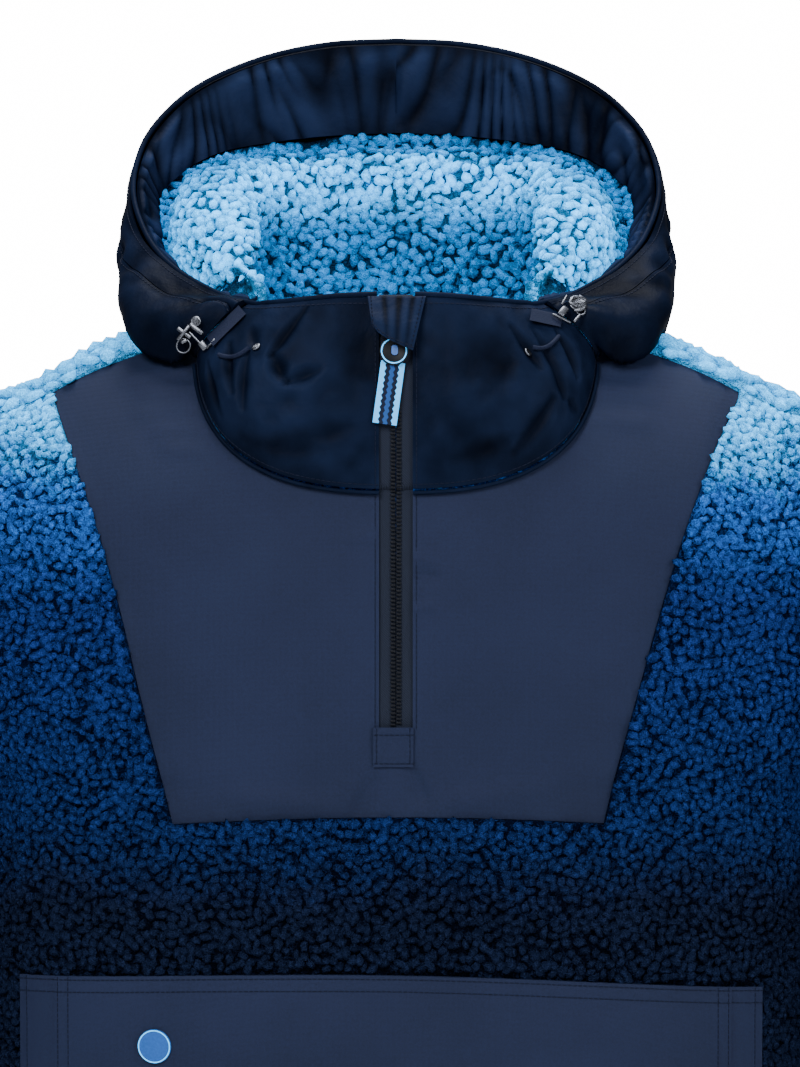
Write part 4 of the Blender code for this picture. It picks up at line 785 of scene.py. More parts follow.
def sleeve_grid(step):
    """The right sleeve: rings from the armhole over the shoulder's cap and down to the cuff."""
    loop = armhole_loop()
    pivot_x, pivot_z = ARMHOLE_X + SEAM_GAP, UNDERARM_HEIGHT - SLEEVE_FLOOR
    middle = (UNDERARM_HEIGHT + loop[:, 2].max()) / 2
    turn = np.arctan2(loop[:, 1], loop[:, 2] - middle)
    reach = loop[:, 2] - pivot_z
    reach_share = (reach - SLEEVE_FLOOR) / (reach.max() - SLEEVE_FLOOR)
    hang = {name: float(read(SLEEVE, name, CAP_FOOT)) for name in SLEEVE}
    rings = []
    for angle in np.linspace(0.0, 90.0, int(CAP_SPAN / step)):
        blend = softened(angle / 90.0)
        share = reach_share + (0.5 + 0.5 * np.cos(turn) - reach_share) * blend
        out = SLEEVE_FLOOR + (float(read(CAP, "reach", angle)) - SLEEVE_FLOOR) * share
        hanging_y = np.where(np.sin(turn) < 0, hang["front"], hang["back"]) * np.sin(turn)
        deep = loop[:, 1] + (hanging_y - loop[:, 1]) * blend
        lean = math.radians(angle)
        x, z = pivot_x + out * math.sin(lean), pivot_z + out * math.cos(lean)
        rings.append(np.stack([x, deep, z], axis=-1))
    for height in even(SLEEVE_TOP, CUFF_HEIGHT, step):
        row = {name: float(read(SLEEVE, name, height)) for name in SLEEVE}
        swell = float(read(SLEEVE_FOLDS, "rise", height))
        uneven = swell * (0.6 + 0.4 * np.cos(turn * 2 + 1.0))
        x = (row["inner"] + row["outer"]) / 2 + ((row["outer"] - row["inner"]) / 2 + uneven) * np.cos(turn)
        y = (row["back"] - row["front"]) / 2 + ((row["back"] + row["front"]) / 2 + uneven) * np.sin(turn)
        rings.append(np.stack([x, y, np.full(len(turn), height)], axis=-1))
    points = np.array(rings)
    normals = grid_normals(points, closed=True)
    normals *= np.sign(((points - points.mean(axis=1, keepdims=True)) * normals).sum(-1).mean())
    ring = points[0]
    plane = unit(np.cross(np.roll(ring, -1, axis=0) - np.roll(ring, 1, axis=0), [1.0, 0.0, 0.0]))
    normals[0] = plane * np.sign((plane * (ring - ring.mean(axis=0))).sum(-1, keepdims=True))
    return points, normals


def collar_points(turns, shares):
    """The collar's padded outer face, on the right. A share is 0 at the neck seam and 1 at the top edge."""
    start, top = neck_line(turns), read_points(RIM, "", turns)
    out = unit(np.stack([start[..., 0], start[..., 1] + COLLAR_CENTRE, np.zeros_like(turns)], axis=-1))
    bulge = COLLAR_BULGE + COLLAR_SIDE_BULGE * np.sin(math.pi * np.minimum(turns, 90.0) / 90.0)
    swell = bulge * np.sin(math.pi * np.clip(shares, 0.0, 1.0)) ** 0.8
    return start + (top - start) * shares[..., None] + out * swell[..., None]


def collar_grid(step):
    """The right half of the collar's outer face: (points, turns, shares)."""
    ends = math.radians(FRONT_TURN), math.radians(COLLAR_END)
    turns = np.degrees(np.linspace(*ends, int(COLLAR_SPAN / step)))
    shares = np.linspace(1.0, 0.0, int(COLLAR_RISE / step))[:, None]
    turns, shares = np.broadcast_arrays(turns, shares)
    points = collar_points(turns, shares)
    points[:, 0, 0] = ZIP_HALF_WIDTH
    return points, turns, shares


def shell_grid(turns, shares):
    """The hood's shell on the right, from the rim down to the neck seam."""
    neck = neck_line(turns)
    neck = neck + SHELL_SEAM * body_normals(neck)
    swell = [read_points(SHELL, name, turns) for name in ("wide_", "low_", "rest_")]
    line = through(np.array([read_points(RIM, "", turns), *swell, neck]), np.linspace(0.0, 1.0, 41))
    points = np.empty((len(shares), len(turns), 3))
    for column in range(len(turns)):
        along = distances(line[:, column])
        points[:, column] = at_distance(shares * along[-1], along, line[:, column])
    held = np.clip((turns - COLLAR_END) / 4.0, 0.0, 1.0)[None, :, None]
    collar = collar_points(*np.broadcast_arrays(turns, 1.0 - shares[:, None]))
    collar[-1] = neck
    points = collar + (points - collar) * held
    for row in range(len(shares) - 1):
        under = body_top(points[row, :, 0], points[row, :, 1])
        points[row, :, 2] = np.maximum(points[row, :, 2], under + SHELL_REST)
    return points


def off_rim(points, distance):
    """The grid with its first row moved down clear of the rim's piping."""
    made = points.copy()
    down = unit(points[1] - points[0])
    along = unit(np.gradient(points[0], axis=0))
    slant = np.linalg.norm(np.cross(down, along), axis=-1, keepdims=True)
    made[0] += distance / slant * down
    share = np.linspace(1.0, 0.0, 7)[1:-1, None, None]
    reach = len(share)
    made[1 : reach + 1] += share * (made[0] - points[0])[None]
    return made


def facing_grid(turns, shares):
    """The facing on the right, from the rim down to the lining, whose pile covers its lower edge."""
    rims, feet = read_points(RIM, "", turns), read_points(FACING, "", turns)
    feet = feet + (LINING_DROP - SEAM_GAP) * unit(feet - rims)
    return rims + (feet - rims) * shares[:, None, None]


def collar_inside(turn):
    """The pile on the collar's inside, from its top edge down to the neck seam."""
    held = min(turn, 90.0)
    depth = COLLAR_WALL + 4 * SEAM_GAP + LINING_WALL
    shares = np.array([0.96, 0.7, 0.45, 0.2, 0.02])
    line = collar_points(np.full(5, held), shares)
    if turn > 90.0:
        line[-1] = neck_line(np.array([turn]))[0]
        depth = LINING_WALL + LINING_STANDOFF
    out = unit(np.array([line[-1][0], line[-1][1] + COLLAR_CENTRE, 0.0]))
    return line - out * depth


def roll_controls(turn):
    """The pile lining at one turn, from the facing's lower edge over the fat fold and down the neck."""
    inner_edge = collar_inside(turn)
    crest = read_points(ROLL, "", turn)
    radius = float(read(ROLL, "radius", turn))
    foot = inner_edge[0]
    if turn > COLLAR_END:
        foot = read_points(FACING, "", turn)
        foot = foot + LINING_DROP * unit(foot - read_points(RIM, "", turn))
    out = (foot - crest) * np.array([1.0, 1.0, 0.0])
    radius = min(radius, float(np.linalg.norm(out)) - ROLL_CLEAR)
    out = unit(out)
    up = np.array([0.0, 0.0, 1.0])
    throat = inner_edge[-1]
    trough = (crest + out * radius + foot) / 2
    trough[2] = min(crest[2] - radius - LINING_TROUGH, foot[2] - LEAST_TROUGH)
    trough[2] = max(trough[2], foot[2] - float(read(TROUGH, "drop", turn)))
    return np.array(
        [
            foot,
            trough,
            crest + out * radius - up * radius,
            crest + out * radius * 0.7 - up * radius * 0.3,
            crest,
            crest - out * radius * 0.7 - up * radius * 0.3,
            crest - out * radius - up * radius,
            crest - out * radius * 1.05 + (throat - crest) * 0.55 + out * radius * 0.55,
            throat,
        ]
    )


def lining_grid(step):
    """The lining's side that shows, from zip to zip round the back."""
    behind = np.linspace(84.0, 180.0, int(LINING_SPAN / step))[1:]
    turns = np.concatenate([np.linspace(2.6, 84.0, 44), behind])
    shares = np.linspace(0.0, 1.0, int(LINING_REACH / step))
    half = np.empty((len(shares), len(turns), 3))
    for column, turn in enumerate(turns):
        rolled = through(roll_controls(turn)[:, None], shares)[:, 0]
        plain = through(collar_inside(min(turn, 90.0))[:, None], shares)[:, 0]
        blend = np.clip((turn - ROLL_START) / ROLL_EASE, 0.0, 1.0)
        half[:, column] = plain + (rolled - plain) * blend * blend * (3 - 2 * blend)
    mirrored = half[:, :-1] * MIRROR
    points = np.concatenate([mirrored, half[:, ::-1]], axis=1)
    return points, -grid_normals(points)


def centre_line(height):
    """The y of the woven cloth's outer face at the zip."""
    height = np.asarray(height, float)
    neck = neck_line(np.array([FRONT_TURN]))[0]
    below = body_y(np.zeros_like(height), height, -1) + FLEECE_PROUD
    share = np.clip((height - neck[2]) / (read(RIM, "z", FRONT_TURN) - neck[2]), 0.0, 1.0)
    above = collar_points(np.full_like(height, FRONT_TURN), share)[..., 1]
    return np.where(height < neck[2], below, above)


def pocket_top(x):
    """The height of the pocket's top edge."""
    return POCKET_TOP - POCKET_SAG * (x / POCKET_HALF) ** 2 - POCKET_TILT * (x / POCKET_HALF)


# Materials


class Value:
    """A number in a material. Sums and products of such numbers add Math nodes."""

    def __init__(self, graph, socket):
        self.graph = graph
        self.socket = socket

    def maths(self, operation, *others):
        values = dict(enumerate((self, *others)))
        return self.graph.node("Math", {"operation": operation}, values)

    def __add__(self, other):
        return self.maths("ADD", other)

    def __radd__(self, other):
        return self + other

    def __sub__(self, other):
        return self.maths("SUBTRACT", other)

    def __rsub__(self, other):
        return self * -1.0 + other

    def __mul__(self, other):
        return self.maths("MULTIPLY", other)


class Finish:
    """A material, and the ways to feed its Principled shader."""

    def __init__(self, name, **constants):
        self.material = bpy.data.materials.new(name)
        self.material.use_nodes = True
        self.tree = self.material.node_tree
        self.shader = self.tree.nodes["Principled BSDF"]
        for socket, value in constants.items():
            self.shader.inputs[socket.replace("_", " ")].default_value = value
        self.place = self.node("TexCoord", {}, {}, output="Object")

    def node(self, kind, settings, values, output=0):
        """Adds a node, sets it up, feeds its inputs, and gives one of its outputs."""
        made = self.tree.nodes.new("ShaderNode" + kind)
        for setting, value in settings.items():
            setattr(made, setting, value)
        for key, value in values.items():
            self.feed(made.inputs[key], value)
        return Value(self, made.outputs[output])

    def feed(self, socket, value):
        """Gives an input a number in the material, or a plain value."""
        if isinstance(value, Value):
            self.tree.links.new(value.socket, socket)
        else:
            socket.default_value = value

    def axis(self, name, vector=None):
        return self.node("SeparateXYZ", {}, {0: vector or self.place}, output=name)

    def way(self, axis):
        """One axis of the piece's own attribute, called way."""
        return self.axis(axis, self.node("Attribute", {"attribute_name": "way"}, {}, output="Vector"))

    def noise(self, scale, detail=2.0, rough=0.5, place=None):
        values = {"Vector": place or self.place, "Scale": scale, "Detail": detail, "Roughness": rough}
        return self.node("TexNoise", {}, values)

    def cells(self, scale, place):
        return self.node("TexVoronoi", {}, {"Vector": place, "Scale": scale}, output="Distance")

    def bands(self, direction, scale, distortion=0.0):
        settings = {"wave_type": "BANDS", "bands_direction": direction}
        values = {"Vector": self.place, "Scale": scale, "Distortion": distortion}
        return self.node("TexWave", settings, values)

    def smooth(self, value, low, high):
        """Goes smoothly from 0 to 1 as the value goes from low to high."""
        values = {"Value": value, 1: low, 2: high}
        return self.node("MapRange", {"interpolation_type": "SMOOTHSTEP"}, values)

    def blend(self, share, first, second, mode="MIX"):
        """A colour on the way from the first to the second."""
        settings = {"data_type": "RGBA", "blend_type": mode}
        return self.node("Mix", settings, {0: share, 6: first, 7: second}, output=2)

    def warped(self, scale, reach):
        """The object's coordinates, pushed about by noise."""
        values = {"Vector": self.place, "Scale": scale, "Detail": 1.0}
        noise = self.node("TexNoise", {}, values, output="Color")
        settings = {"operation": "MULTIPLY_ADD"}
        pushed = self.node("VectorMath", settings, {0: noise, 1: (reach,) * 3, 2: (-reach / 2,) * 3})
        return self.node("VectorMath", {"operation": "ADD"}, {0: self.place, 1: pushed})

    def colour(self, value):
        self.feed(self.shader.inputs["Base Color"], value)

    def roughness(self, value):
        self.feed(self.shader.inputs["Roughness"], value)

    def bump(self, height, distance):
        bumped = self.node("Bump", {}, {"Height": height, "Distance": distance})
        self.feed(self.shader.inputs["Normal"], bumped)


def dimmed(colour, share):
    """The colour at a share of its brightness."""
    return (colour[0] * share, colour[1] * share, colour[2] * share, 1.0)


def pile(finish, settings, tone, gap, curly=0.50, full=1.22):
    """Curly pile: its curls go from the gap's colour at their roots to the tone at their crowns, which paints
    shade between the curls and light on their crowns.

    Curly is how much its strands show as painted highlights, and full is how high the painted light has to be
    for the whole tone.
    """
    size = settings.curl_size
    high = finish.way("Y")
    place = finish.warped(1.6 / size, size * 0.6)
    strands = (finish.noise(2.4 / size, place=place) - 0.5).maths("ABSOLUTE") * -8.0 + 1.0
    strands = strands.maths("MAXIMUM", 0.0)
    roots = finish.smooth(finish.cells(1.15 / size, place), 0.66, 0.20)
    clumps = finish.noise(0.22 / size, detail=1.0)
    # Painted light and shade: crowns and cell middles lighter, the gaps painted dark, strands painted as
    # bright highlights; clumps vary the tone at random
    light = high.maths("MAXIMUM", roots * 0.62) * 0.72 + strands * curly + clumps * 0.24
    light = finish.smooth(light, 0.28, full)
    colour = finish.blend(light, gap, tone)
    finish.colour(colour)
    # Painted glow: the light blue of the pile glows, most on the curls' crowns, as painted light that no lamp
    # gives
    painted_glow = finish.blend(1.0, colour, finish.axis("Z", colour) * high, mode="MULTIPLY")
    finish.feed(finish.shader.inputs["Emission Color"], painted_glow)
    finish.material.cycles.emission_sampling = "NONE"
    finish.bump(strands * 0.7 + roots * 0.5 + finish.noise(9.0 / size) * 0.4, size * 0.60)


# The surface of all the pile
PILE = {"Roughness": 0.95, "Specular_IOR_Level": 0.02}


def fleece_finish(settings):
    """The body's pile, dyed from light at the shoulders to nearly black at the pocket."""
    # Emission strength: how bright the fleece's painted glow is
    finish = Finish("pile_fleece", **PILE, Emission_Strength=1.8)
    uneven = finish.noise(11.0, detail=3.0) * 0.050 + finish.noise(150.0, detail=1.0) * 0.034 - 0.042
    height = finish.axis("Z") + uneven
    tone = settings.light
    for start, end, below in (
        (-0.036, -0.085, settings.upper),
        (-0.080, -0.150, settings.middle),
        (-0.160, -0.270, settings.lower),
        (-0.255, -0.330, settings.foot),
    ):
        tone = finish.blend(finish.smooth(height, start, end), tone, below)
    # Painted shade between the curls: a little darker than the tone at the shoulders, nearly black below them
    gap = dimmed(settings.light, 0.55)
    for start, end, share in ((-0.030, -0.070, 1.0), (-0.065, -0.125, 0.32), (-0.125, -0.360, 0.06)):
        gap = finish.blend(finish.smooth(height, start, end), gap, dimmed(settings.gap, share))
    pile(finish, settings, tone, gap)
    return finish.material


def lining_finish(settings):
    """The lining's pile, with painted shade that makes it deeper in colour down inside the neck and in the
    trough behind the fold.
    """
    # Emission strength: how bright the lining's painted glow is
    finish = Finish("pile_lining", **PILE, Emission_Strength=3.2)
    deep = finish.way("X")
    # Painted shade: the lining is painted deeper in colour where way X is high, and darker still between the
    # curls
    tone = finish.blend(deep, settings.lining, settings.lining_deep)
    gap = finish.blend(deep, dimmed(settings.lining, 0.22), dimmed(settings.lining_deep, 0.10))
    pile(finish, settings, tone, gap, curly=0.22, full=0.92)
    return finish.material


def woven_finish(name, colour, thread):
    """Matte cloth with a fine weave: the threads run across and down the piece."""
    finish = Finish(name, Roughness=0.66, Specular_IOR_Level=0.05)
    scale = 1.0 / (thread * 3.18)
    weave = finish.bands("X", scale, 0.6) * 0.5 + finish.bands("Z", scale, 0.6) * 0.5
    slub = finish.noise(900.0)
    cloud = finish.noise(9.0, detail=3.0)
    light = finish.smooth(weave * 0.30 + slub * 0.35 + cloud * 0.35, 0.30, 0.70)
    finish.colour(finish.blend(light, dimmed(colour, 0.64), dimmed(colour, 1.36)))
    finish.roughness(0.60 + slub * 0.16)
    finish.bump(weave * 0.6 + slub * 0.4 + cloud * 0.5, 0.00018)
    return finish.material


def padded_finish(settings):
    """Smooth close cloth over padding, with fine crumples that are deeper in places: its soft gloss is mostly
    painted, as painted highlights on raised crumples and painted shade in pressed ones.
    """
    finish = Finish("padded_cloth", Specular_IOR_Level=0.008)
    crumple = finish.noise(46.0, detail=4.0, rough=0.55, place=finish.warped(18.0, 0.02))
    broad = finish.noise(15.0)
    grain = finish.noise(1400.0, detail=1.0)
    # Painted light and shade: the crumples and the piece's way attribute paint the colour lighter or darker
    light = finish.smooth(crumple * 0.4 + broad * 0.4 + finish.way("X") * 0.5, 0.05, 0.95)
    finish.colour(finish.blend(light, dimmed(settings.padded, 0.25), dimmed(settings.padded, 2.3)))
    finish.roughness(0.40 + grain * 0.10 + crumple * 0.08)
    finish.bump(crumple * 0.70 + broad * 0.55 + grain * 0.02, 0.0024)
    return finish.material


def metal_finish():
    """Dark plated metal, brighter where it is rubbed."""
    finish = Finish("gunmetal_plate", Metallic=1.0)
    rubbed = finish.noise(320.0, detail=3.0)
    finish.colour(finish.blend(rubbed, (0.018, 0.020, 0.026, 1.0), (0.130, 0.140, 0.165, 1.0)))
    finish.roughness(0.26 + rubbed * 0.20)
    finish.bump(finish.noise(900.0), 0.00005)
    return finish.material


def tape_finish():
    """Ribbed zip tape."""
    finish = Finish("zip_tape_cloth", Roughness=0.80, Specular_IOR_Level=0.08)
    rib = finish.bands("DIAGONAL", 420.0, 0.3)
    slub = finish.noise(1100.0)
    dark, light = (0.0012, 0.0020, 0.0046, 1.0), (0.0080, 0.0112, 0.0220, 1.0)
    finish.colour(finish.blend(rib * 0.6 + slub * 0.4, dark, light))
    finish.bump(rib * 0.7 + slub * 0.3, 0.00015)
    return finish.material


def plain_finish(name, colour, roughness, grain, depth, shine=0.3):
    """One colour with a fine uneven grain in it."""
    finish = Finish(name, Specular_IOR_Level=shine)
    speckle = finish.noise(grain)
    finish.colour(finish.blend(speckle, dimmed(colour, 0.75), dimmed(colour, 1.25)))
    finish.roughness(roughness - 0.06 + speckle * 0.12)
    finish.bump(speckle, depth)
    return finish.material


def ribbon_finish(settings):
    """Jacquard ribbon: light edges, two dark zigzag lines and a zigzag middle."""
    finish = Finish("striped_ribbon", Roughness=0.75, Specular_IOR_Level=0.05)
    zigzag = (finish.way("Y") * 560.0).maths("PINGPONG", 1.0) * 0.07
    across = (finish.way("X") + zigzag - 0.035).maths("ABSOLUTE")
    line = finish.smooth(across, 0.080, 0.100) * (1.0 - finish.smooth(across, 0.255, 0.270))
    edge = finish.smooth(across, 0.262, 0.275)
    threads = finish.bands("Z", 700.0)
    tone = finish.blend(line, settings.ribbon_middle, (0.0025, 0.0040, 0.0110, 1.0))
    tone = finish.blend(edge, tone, settings.ribbon_edge)
    finish.colour(finish.blend(threads * 0.35, tone, (0.02, 0.03, 0.06, 1.0)))
    finish.bump(threads, 0.0002)
    return finish.material


# Making pieces


def cloth(shown, hidden, keep=None, closed=False, way=None):
    """A closed thin wall between the grid that shows and the hidden one. Way is two values for each point."""
    if closed:
        shown, hidden = wrapped(shown), wrapped(hidden)
    rows, columns = shown.shape[:2]
    bm = bmesh.new()
    home = bm.verts.layers.int.new("home")
    bmesh.ops.create_grid(bm, x_segments=columns - 1, y_segments=rows - 1, size=1.0)
    places = shown.reshape(-1, 3)
    for index, vert in enumerate(bm.verts):
        vert.co = places[index]
        vert[home] = index
    if keep is not None:
        gone = [face for face, kept in zip(bm.faces, keep.reshape(-1)) if not kept]
        bmesh.ops.delete(bm, geom=gone, context="FACES")
    if closed:
        seam = [vert for vert in bm.verts if vert[home] % columns in (0, columns - 1)]
        bmesh.ops.remove_doubles(bm, verts=seam, dist=1e-6)
    back = bmesh.ops.extrude_face_region(bm, geom=bm.faces[:], use_keep_orig=True)
    places = hidden.reshape(-1, 3)
    for item in back["geom"]:
        if isinstance(item, bmesh.types.BMVert):
            item.co = places[item[home]]
    if way is not None:
        layer = bm.verts.layers.float_vector.new("way")
        places = np.stack(np.broadcast_arrays(*way), axis=-1).reshape(-1, 2)
        for vert in bm.verts:
            vert[layer] = (*places[vert[home]], 0.0)
    return bm


def add_piece(name, bm, finish, body=GARMENT, replaced=()):
    """Turns a finished bmesh into a smooth piece that rides on its body."""
    bmesh.ops.recalc_face_normals(bm, faces=bm.faces)
    mesh = bpy.data.meshes.new(name)
    bm.to_mesh(mesh)
    bm.free()
    mesh.shade_smooth()
    mesh.set_sharp_from_angle(angle=SHARP_ANGLE)
    mesh.materials.append(finish)
    return put(name, mesh, body, replaced)


def put(name, data, body, replaced):
    """Puts a piece in the scene, on its body and in place of the nodes that it replaces."""
    made = bpy.data.objects.new(name, data)
    bpy.context.scene.collection.objects.link(made)
    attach(made, body)
    if replaced:
        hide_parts(*replaced)
    return made


def add_sheet(name, grids, lying, held, finish, slot, node, body=GARMENT, **options):
    way = options.pop("way", None)
    made = add_piece(name, cloth(*grids, way=way, **options), finish, body, (node,))
    declare(made, lying, held, **options)


def many(bm, count):
    """Repeats the shape in a bmesh by doubling it, then drops the shapes past the count."""
    wanted = len(bm.verts) * count
    while len(bm.verts) < wanted:
        bmesh.ops.duplicate(bm, geom=bm.verts[:] + bm.edges[:] + bm.faces[:])
    bmesh.ops.delete(bm, geom=bm.verts[:][wanted:], context="VERTS")


def sown(grid, apart, keep):
    """Uneven places on a grid, none nearer to another than a distance, as (row, column) with part cells."""
    edges = grid[:-1, 1:] - grid[:-1, :-1], grid[1:, :-1] - grid[:-1, :-1]
    tries = np.linalg.norm(np.cross(*edges), axis=-1) * 6.0 / apart**2
    kept = np.ones(tries.shape, bool) if keep is None else keep
    cells = np.argwhere(kept)
    seeded = np.random.default_rng(7)
    counts = (tries[kept] + seeded.random(len(cells))).astype(int)
    cells = np.repeat(cells, counts, axis=0)
    spots = cells + seeded.random(cells.shape)
    seeded.shuffle(spots)
    for step in ((EDGE_CLEAR, 0), (-EDGE_CLEAR, 0), (0, EDGE_CLEAR), (0, -EDGE_CLEAR)):
        near = np.floor(spots + step).astype(int)
        inside = ((near >= 0) & (near < kept.shape)).all(axis=1)
        near = np.clip(near, 0, np.array(kept.shape) - 1)
        spots = spots[inside & kept[near[:, 0], near[:, 1]]]
    places = between(grid, spots)
    boxes = np.floor(places / apart).astype(int).tolist()
    near = list(np.ndindex(3, 3, 3))
    taken, chosen = {}, []
    for index, ((x, y, z), place) in enumerate(zip(boxes, places.tolist())):
        others = (other for i, j, k in near for other in taken.get((x + i - 1, y + j - 1, z + k - 1), ()))
        if all(math.dist(place, other) >= apart for other in others):
            taken.setdefault((x, y, z), []).append(place)
            chosen.append(index)
    return spots[chosen]


def between(values, spots):
    """A grid's values at (row, column) spots that lie between its points."""
    row, column = spots.astype(int).T
    down, along = (spots - np.floor(spots)).T[..., None]
    upper = values[row, column] * (1 - along) + values[row, column + 1] * along
    lower = values[row + 1, column] * (1 - along) + values[row + 1, column + 1] * along
    return upper * (1 - down) + lower * down


def add_curls(name, grid, settings, finish, slot, scale=1.0, keep=None, deep=None):
    """A layer of single curls over a grid of (points, normals): squashed, leaning balls of pile."""
    spots = sown(grid[0], settings.curl_pitch * scale, keep)
    chance = np.random.default_rng(5).random((len(spots), 7))
    place, out = between(grid[0], spots), unit(between(grid[1], spots))
    turn = 2 * math.pi * chance[:, :1]
    first = unit(np.cross(out, np.array([0.31, 0.52, 0.79])))
    first = first * np.cos(turn) + np.cross(out, first) * np.sin(turn)
    second = np.cross(out, first)
    lean = unit(out + 0.8 * (chance[:, 1:2] - 0.5) * first + 0.8 * (chance[:, 2:3] - 0.5) * second)
    size = settings.curl_pitch * settings.curl_share * scale
    height = settings.pile_height * scale**0.5
    ways = (
        first * size * (0.80 + 0.50 * chance[:, 3:4]),
        second * size * (0.62 + 0.32 * chance[:, 4:5]),
        lean * height * (0.85 + 0.50 * chance[:, 5:6]),
    )
    bm = bmesh.new()
    bmesh.ops.create_icosphere(bm, subdivisions=1, radius=1.0)
    ball = np.array([vert.co for vert in bm.verts])
    rough = scatter(place[:, None] * 900.0 + ball, 1.0)[..., :1] * 0.60 + 0.70
    shape = ball * rough
    points = (place + 0.15 * height * out)[:, None]
    points = points + sum(shape[..., axis : axis + 1] * ways[axis][:, None] for axis in range(3))
    many(bm, len(place))
    made = add_piece(name, bm, finish)
    made.data.vertices.foreach_set("co", points.reshape(-1))
    way = np.zeros((*points.shape[:2], 3))
    # Painted light and shade: way Y is high at a curl's top and low at its root, and way X carries the
    # lining's painted shade
    way[..., 1] = (0.5 + 0.5 * ball[:, 2]) * (0.75 + 0.25 * chance[:, 6:7])
    if deep is not None:
        way[..., 0] = between(deep[..., None], spots)
    made.data.attributes.new("way", "FLOAT_VECTOR", "POINT").data.foreach_set("vector", way.reshape(-1))
    made.data.update()
    return made


def area_of(points, closed=False):
    """The area of a grid of points in square metres."""
    if closed:
        points = wrapped(points)
    across = points[:-1, 1:] - points[:-1, :-1]
    down = points[1:, :-1] - points[:-1, :-1]
    return float(np.linalg.norm(np.cross(across, down), axis=-1).sum())


def flat_size(points, closed=False):
    """The width and length of the rectangle that the grid's cloth is cut from."""
    if closed:
        points = wrapped(points)
    lengths = (
        max(length_of(line) for line in lines[:: max(len(lines) // 12, 1)])
        for lines in (points, points.swapaxes(0, 1))
    )
    return tuple(round(length, 4) for length in lengths)


def declare(made, points, held, closed=False, keep=None):
    """Works out the width and length that a sheet was cut to, and its area, and keeps none of them."""
    width, length = (max(side, LEAST_FLAT) for side in flat_size(points, closed))
    area = area_of(points, closed)
    if keep is not None:
        area *= float(keep.mean())


def tube(name, path, radius, finish, replaced):
    """Round piping or cord along a line of points, as a curve."""
    curve = bpy.data.curves.new(name, "CURVE")
    curve.dimensions = "3D"
    curve.bevel_depth = radius
    curve.bevel_resolution = 3
    curve.use_fill_caps = True
    spline = curve.splines.new("POLY")
    spline.points.add(len(path) - 1)
    for point, place in zip(spline.points, path):
        point.co = (*place, 1.0)
    curve.materials.append(finish)
    put(name, curve, GARMENT, (replaced,))


def upright(along, out):
    """A turn whose Z runs along and whose -Y points out."""
    depth = -Vector(out).normalized()
    up = Vector(along)
    up = (up - up.dot(depth) * depth).normalized()
    return Matrix((depth.cross(up), depth, up)).transposed()


def stitches(bm, line, normals, settings):
    """Adds a row of stitches along a line on the cloth. Each one is a short five-sided dash."""
    along = distances(line)
    radius = settings.stitch_thickness / 2
    dash = {"cap_ends": True, "segments": 5, "radius1": radius, "radius2": radius}
    for stop in np.arange(settings.stitch_pitch / 2, along[-1], settings.stitch_pitch):
        here, ahead = (at_distance(stop + step, along, line) for step in (-2e-4, 2e-4))
        out = unit(at_distance(stop, along, normals))
        place = (here + ahead) / 2 + radius * 0.35 * out
        turned = Matrix.Translation(place) @ upright(ahead - here, out).to_4x4()
        bmesh.ops.create_cone(bm, depth=settings.stitch_length, matrix=turned, **dash)


def inset(points, distance, edge):
    """A line on the grid that runs a distance in from one of its edges."""
    rows = points if edge in ("top", "bottom") else points.swapaxes(0, 1)
    rows = (rows if edge in ("top", "left") else rows[::-1])[:12]
    return np.array([at_distance(distance, distances(way), way) for way in rows.swapaxes(0, 1)])


def sew(bm, shown, normals, settings, edges):
    """Adds a row of stitches at each (edge, distance from it) of a grid."""
    for edge, distance in edges:
        stitches(bm, inset(shown, distance, edge), inset(normals, 0.0, edge), settings)


# The garment's pieces

# The back and the sleeves have a coarser mesh and larger curls than the front, as shares of its own
COARSE_STEP = 1.5
COARSE_CURLS = 1.8

# Rows of stitches: how far they run in from an edge
EDGE_ROW = 0.0022
SECOND_ROW = 0.0094
STRIP_ROW = 0.0060
COLLAR_ROWS = (("bottom", 0.0026), ("top", 0.0040))
HOOD_SEAM_ROW = 0.0024
HOOD_RIM_ROW = 0.0030
PATCH_ROWS = (("left", 0.0020), ("bottom", 0.0020), ("right", 0.0020), ("top", 0.0044))
FLAP_ROWS = (("left", 0.0018), ("right", 0.0018), ("bottom", 0.0018))

# Painted light and shade on the padded cloth: raised cloth is painted lighter and pressed cloth darker, by
# how much to a metre, and painted shade dims it all over
CRUMPLE_PAINTED_LIGHT = 240.0
PRESS_PAINTED_SHADE = 130.0
HOOD_PAINTED_LIGHT = 130.0
HOOD_PAINTED_SHADE = 0.32
GATHER_PAINTED_LIGHT = 2.3  # to a whole gather
GATHER_PAINTED_SHADE = 0.62
FLAP_PAINTED_LIGHT = 0.35
FLAP_PAINTED_SHADE = 900.0

BADGE_THICK = 0.0010

POCKET_PANELS = (
    {"name": "pocket_side_left", "start": -0.2206, "end": -0.1988, "thick": 0.0018},
    {"name": "pocket_front", "start": -0.1988, "end": 0.1955, "thick": 0.0032},
    {"name": "pocket_side_right", "start": 0.1955, "end": 0.2148, "thick": 0.0018},
)


def drawn_in(points, gap, *edges):
    """The grid with the named edges drawn in by the gap, along its own rows or columns."""
    made = points.copy()
    if "top" in edges:
        made[0] += gap * unit(points[1] - points[0])
    if "bottom" in edges:
        made[-1] += gap * unit(points[-2] - points[-1])
    if "left" in edges:
        made[:, 0] += gap * unit(points[:, 1] - points[:, 0])
    if "right" in edges:
        made[:, -1] += gap * unit(points[:, -2] - points[:, -1])
    return made


def curled(points, normals, settings, kept=1.0):
    """Points of pile moved in and out: clumps of curls, and broad unevenness."""
    clumps = 0.35 * settings.pile_height * (curls(points, settings.curl_size * 1.35) - 0.75)
    rise = clumps + waves(points, "pile")
    return points + (rise * kept)[..., None] * normals


ALL_EDGES = ("top", "bottom", "left", "right")


